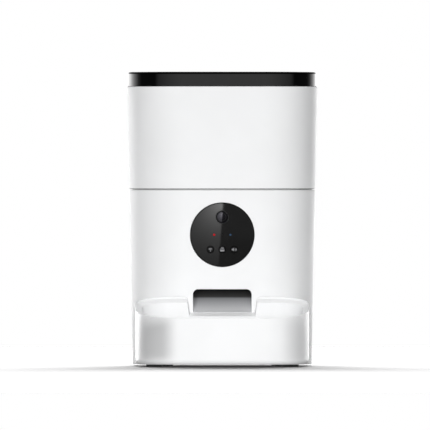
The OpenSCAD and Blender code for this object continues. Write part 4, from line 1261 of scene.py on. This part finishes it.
def lamp(name, kind, place, target, power, **settings):
    light = bpy.data.lights.new(name, kind)
    light.energy = power
    for key, value in settings.items():
        setattr(light, key, value)
    holder = bpy.data.objects.new(name, light)
    holder.location = place
    holder.rotation_euler = (target - place).to_track_quat("-Z", "Y").to_euler()
    hide_from(holder, "camera", "glossy")
    scene.collection.objects.link(holder)
    print(name, round(power, 1), "W")


def spot(name, place, target, angle, power):
    lamp(name, "SPOT", place, target, power, spot_size=math.radians(angle), spot_blend=SPOT_BLEND,
         shadow_soft_size=SPOT_SIZE)


for name, (azimuth, elevation, distance, width, height, radiance) in SOFT_BOXES.items():
    lamp(name, "AREA", around(azimuth, elevation, distance), LAMP_AIM, radiance * math.pi * width * height,
         shape="RECTANGLE", size=width, size_y=height)
spot("side_fill", around(-116, 6, 1.0), SIDE_AIM, 20, 11.0)
for name, side in (("tray_edge_left", -1), ("tray_edge_right", 1)):
    edge = Vector((side * tray_half, tray_middle, tray_high.z / 2))
    spot(name, edge + Vector((side * EDGE_LAMP[0], *EDGE_LAMP[1:])), edge, 9, 40.0)
spot("bowl_fill", around(72, 20, 1.0), BOWL_AIM, 7, 14.0)

# %% [markdown]
# The floor is white like the surround, mostly because a lamp of its own lights it. A faint glow keeps
# the shade from turning black, and is gone where an occlusion node finds something close above.
# Only the camera sees this floor: other rays meet a dim glow, which stands for the light that a
# pale floor throws back, so the floor doesn't light the object twice.

# %% Floor
FLOOR = 3.0
FLOOR_PALE = 0.1
FLOOR_GLOW = 0.07
CONTACT_REACH = 11 * MM
FLOOR_BOUNCE = 0.12
FLOOR_GLOSS = 0.6


def flat_card(name, corners, material, *hidden):
    bm = bmesh.new()
    bm.faces.new([bm.verts.new(c) for c in corners])
    card = to_object(bm, name)
    card.data.materials.append(material)
    hide_from(card, *hidden)
    print(name, [round(v, 3) for v in card.dimensions])
    return card


def show(tree, surface):
    feed(tree, tree.nodes["Material Output"].inputs, {"Surface": surface})


floor_paint, tree = new_material("floor_paint")
contact = step(tree, "AmbientOcclusion", {"Distance": CONTACT_REACH}, "AO")
shade(tree, {"Base Color": (FLOOR_PALE, FLOOR_PALE, FLOOR_PALE, 1), "Roughness": 0.9,
             "Specular IOR Level": 0.0, "Emission Color": (1, 1, 1, 1),
             "Emission Strength": math_step(tree, "MULTIPLY", contact, FLOOR_GLOW)})
shiny = math_step(tree, "MULTIPLY", ray(tree, "Glossy"), FLOOR_GLOSS)
dim = step(tree, "Emission", {"Strength": math_step(tree, "MAXIMUM", shiny, FLOOR_BOUNCE)})
painted = tree.nodes["Principled BSDF"].outputs["BSDF"]
show(tree, step(tree, "MixShader", {0: seen(tree), 1: dim, 2: painted}))
floor = flat_card("floor", [(x * FLOOR, y * FLOOR, 0) for x, y in CORNERS], floor_paint)

# %% [markdown]
# Two nets take a share of the key light from the tray, more on its left than on its right, as in
# the photograph. They stand close before it, low enough to leave the body alone, and nothing sees
# them directly.

# %% Nets before the tray
NET_Y = -0.185
NET_BOTTOM = 12.5 * MM
NET_TOP = 52.5 * MM


def net(name, share, left, right):
    material, tree = new_material("net")
    thread = step(tree, "BsdfDiffuse", {"Color": (0, 0, 0, 1)})
    show(tree, step(tree, "MixShader", {0: share, 1: step(tree, "BsdfTransparent"), 2: thread}))
    corners = [(left, NET_Y, NET_BOTTOM), (right, NET_Y, NET_BOTTOM), (right, NET_Y, NET_TOP),
               (left, NET_Y, NET_TOP)]
    return flat_card(name, corners, material, "camera", "glossy", "transmission")


nets = [net("scrim_left", 0.42, -0.2, -0.053), net("scrim_right", 0.25, 0.064, 0.2)]

# %% [markdown]
# The lamp of the floor stands low behind the object and is very broad, so the shade before the
# object is soft and ends within a metre. Light linking keeps the lamp off the object, which still
# throws its shade, and leaves the nets out of the shade.

# %% Floor lamp
FLOOR_WHITE = 0.94
BACK_RISE = math.radians(22)
BACK_SPREAD = math.radians(40)


def linked(name, things):
    group = bpy.data.collections.new(name)
    for thing in things:
        group.objects.link(thing)
    return group


light = bpy.data.lights.new("floor_lamp", "SUN")
light.angle = BACK_SPREAD
light.energy = FLOOR_WHITE * math.pi / (FLOOR_PALE * math.sin(BACK_RISE))
holder = bpy.data.objects.new("floor_lamp", light)
# A sun shines along its own -Z: from behind, down to the front
holder.rotation_euler = (BACK_RISE - math.pi / 2, 0, 0)
hide_from(holder, "glossy")
scene.collection.objects.link(holder)
holder.light_linking.receiver_collection = linked("lit_by_floor_lamp", [floor])
passed = linked("passed_by_floor_lamp", nets)
for row in passed.collection_objects:
    row.light_linking.link_state = "EXCLUDE"
holder.light_linking.blocker_collection = passed
print("floor lamp", round(light.energy, 1), "W per square metre")

# %% [markdown]
# A bright card before the panel, seen only in reflections, makes the slanting sheen on its left
# half. It is brightest near the top of the panel and fades away from there. The panel leans forward,
# so its reflections sink on their way out, and the card hangs lower by as much.

# %% Reflection card
SHEEN_DISTANCE = 0.3
SHEEN_TOP = Vector((0.7 * MM, 0, 163.3 * MM))
SHEEN_BOTTOM = Vector((-3.6 * MM, 0, 100.3 * MM))
SHEEN_CENTRE = Vector((-0.3 * MM, 0, 163.3 * MM))
SHEEN_REACH = 21 * MM
SHEEN_PEAK = 19
# How far the card runs on past both ends, as a share of its length
SHEEN_PAST = 0.3
ONLY_REFLECTED = ("camera", "diffuse", "shadow", "transmission")

sheen, tree = new_material("sheen")
shift = Vector((0, panel_low.y - SHEEN_DISTANCE, -math.tan(2 * lean) * SHEEN_DISTANCE))
away = math_step(tree, "DIVIDE", distance_from(tree, SHEEN_CENTRE + shift, (1, 0, 1)), -SHEEN_REACH)
glow = math_step(tree, "MULTIPLY", math_step(tree, "EXPONENT", away), SHEEN_PEAK)
show(tree, step(tree, "Emission", {"Strength": math_step(tree, "ADD", glow, 1.0)}))
past = (SHEEN_TOP - SHEEN_BOTTOM) * SHEEN_PAST
top = SHEEN_TOP + past + shift
bottom = SHEEN_BOTTOM - past + shift
left = Vector((-2 * panel_radius, 0, 0))
flat_card("sheen_card", [bottom + left, bottom, top, top + left], sheen, *ONLY_REFLECTED)

# %% [markdown]
# Two low cards stand beside the tray, a little behind it. Satin plastic mirrors more at a slant, so
# each draws a bright stripe down the edge of the tray, where its side turns out of sight. Light
# linking gives them to the tray alone, and all else sees through them.

# %% Cards beside the tray
GLINT_NEAR = 0.16
GLINT_HEIGHT = 0.1
# The stretch of azimuths from the front that a card fills, seen from the edge of the tray
GLINT_SPAN = (126, 168)
shone_on = linked("shone_on_by_cards", [tray])


def glint_card(name, side, strength):
    material, tree = new_material(name)
    show(tree, step(tree, "AddShader", {0: step(tree, "Emission", {"Strength": strength}),
                                        1: step(tree, "BsdfTransparent")}))
    edge = Vector((side * tray_half, tray_front + TRAY_FRONT_CORNER, 0))
    near, far = (edge + GLINT_NEAR * Vector((side * math.sin(a), -math.cos(a), 0))
                 for a in map(math.radians, GLINT_SPAN))
    up = Vector((0, 0, GLINT_HEIGHT))
    card = flat_card(name, [near, far, far + up, near + up], material, *ONLY_REFLECTED)
    card.light_linking.receiver_collection = shone_on


glint_card("glint_left", -1, 5.0)
glint_card("glint_right", 1, 2.2)
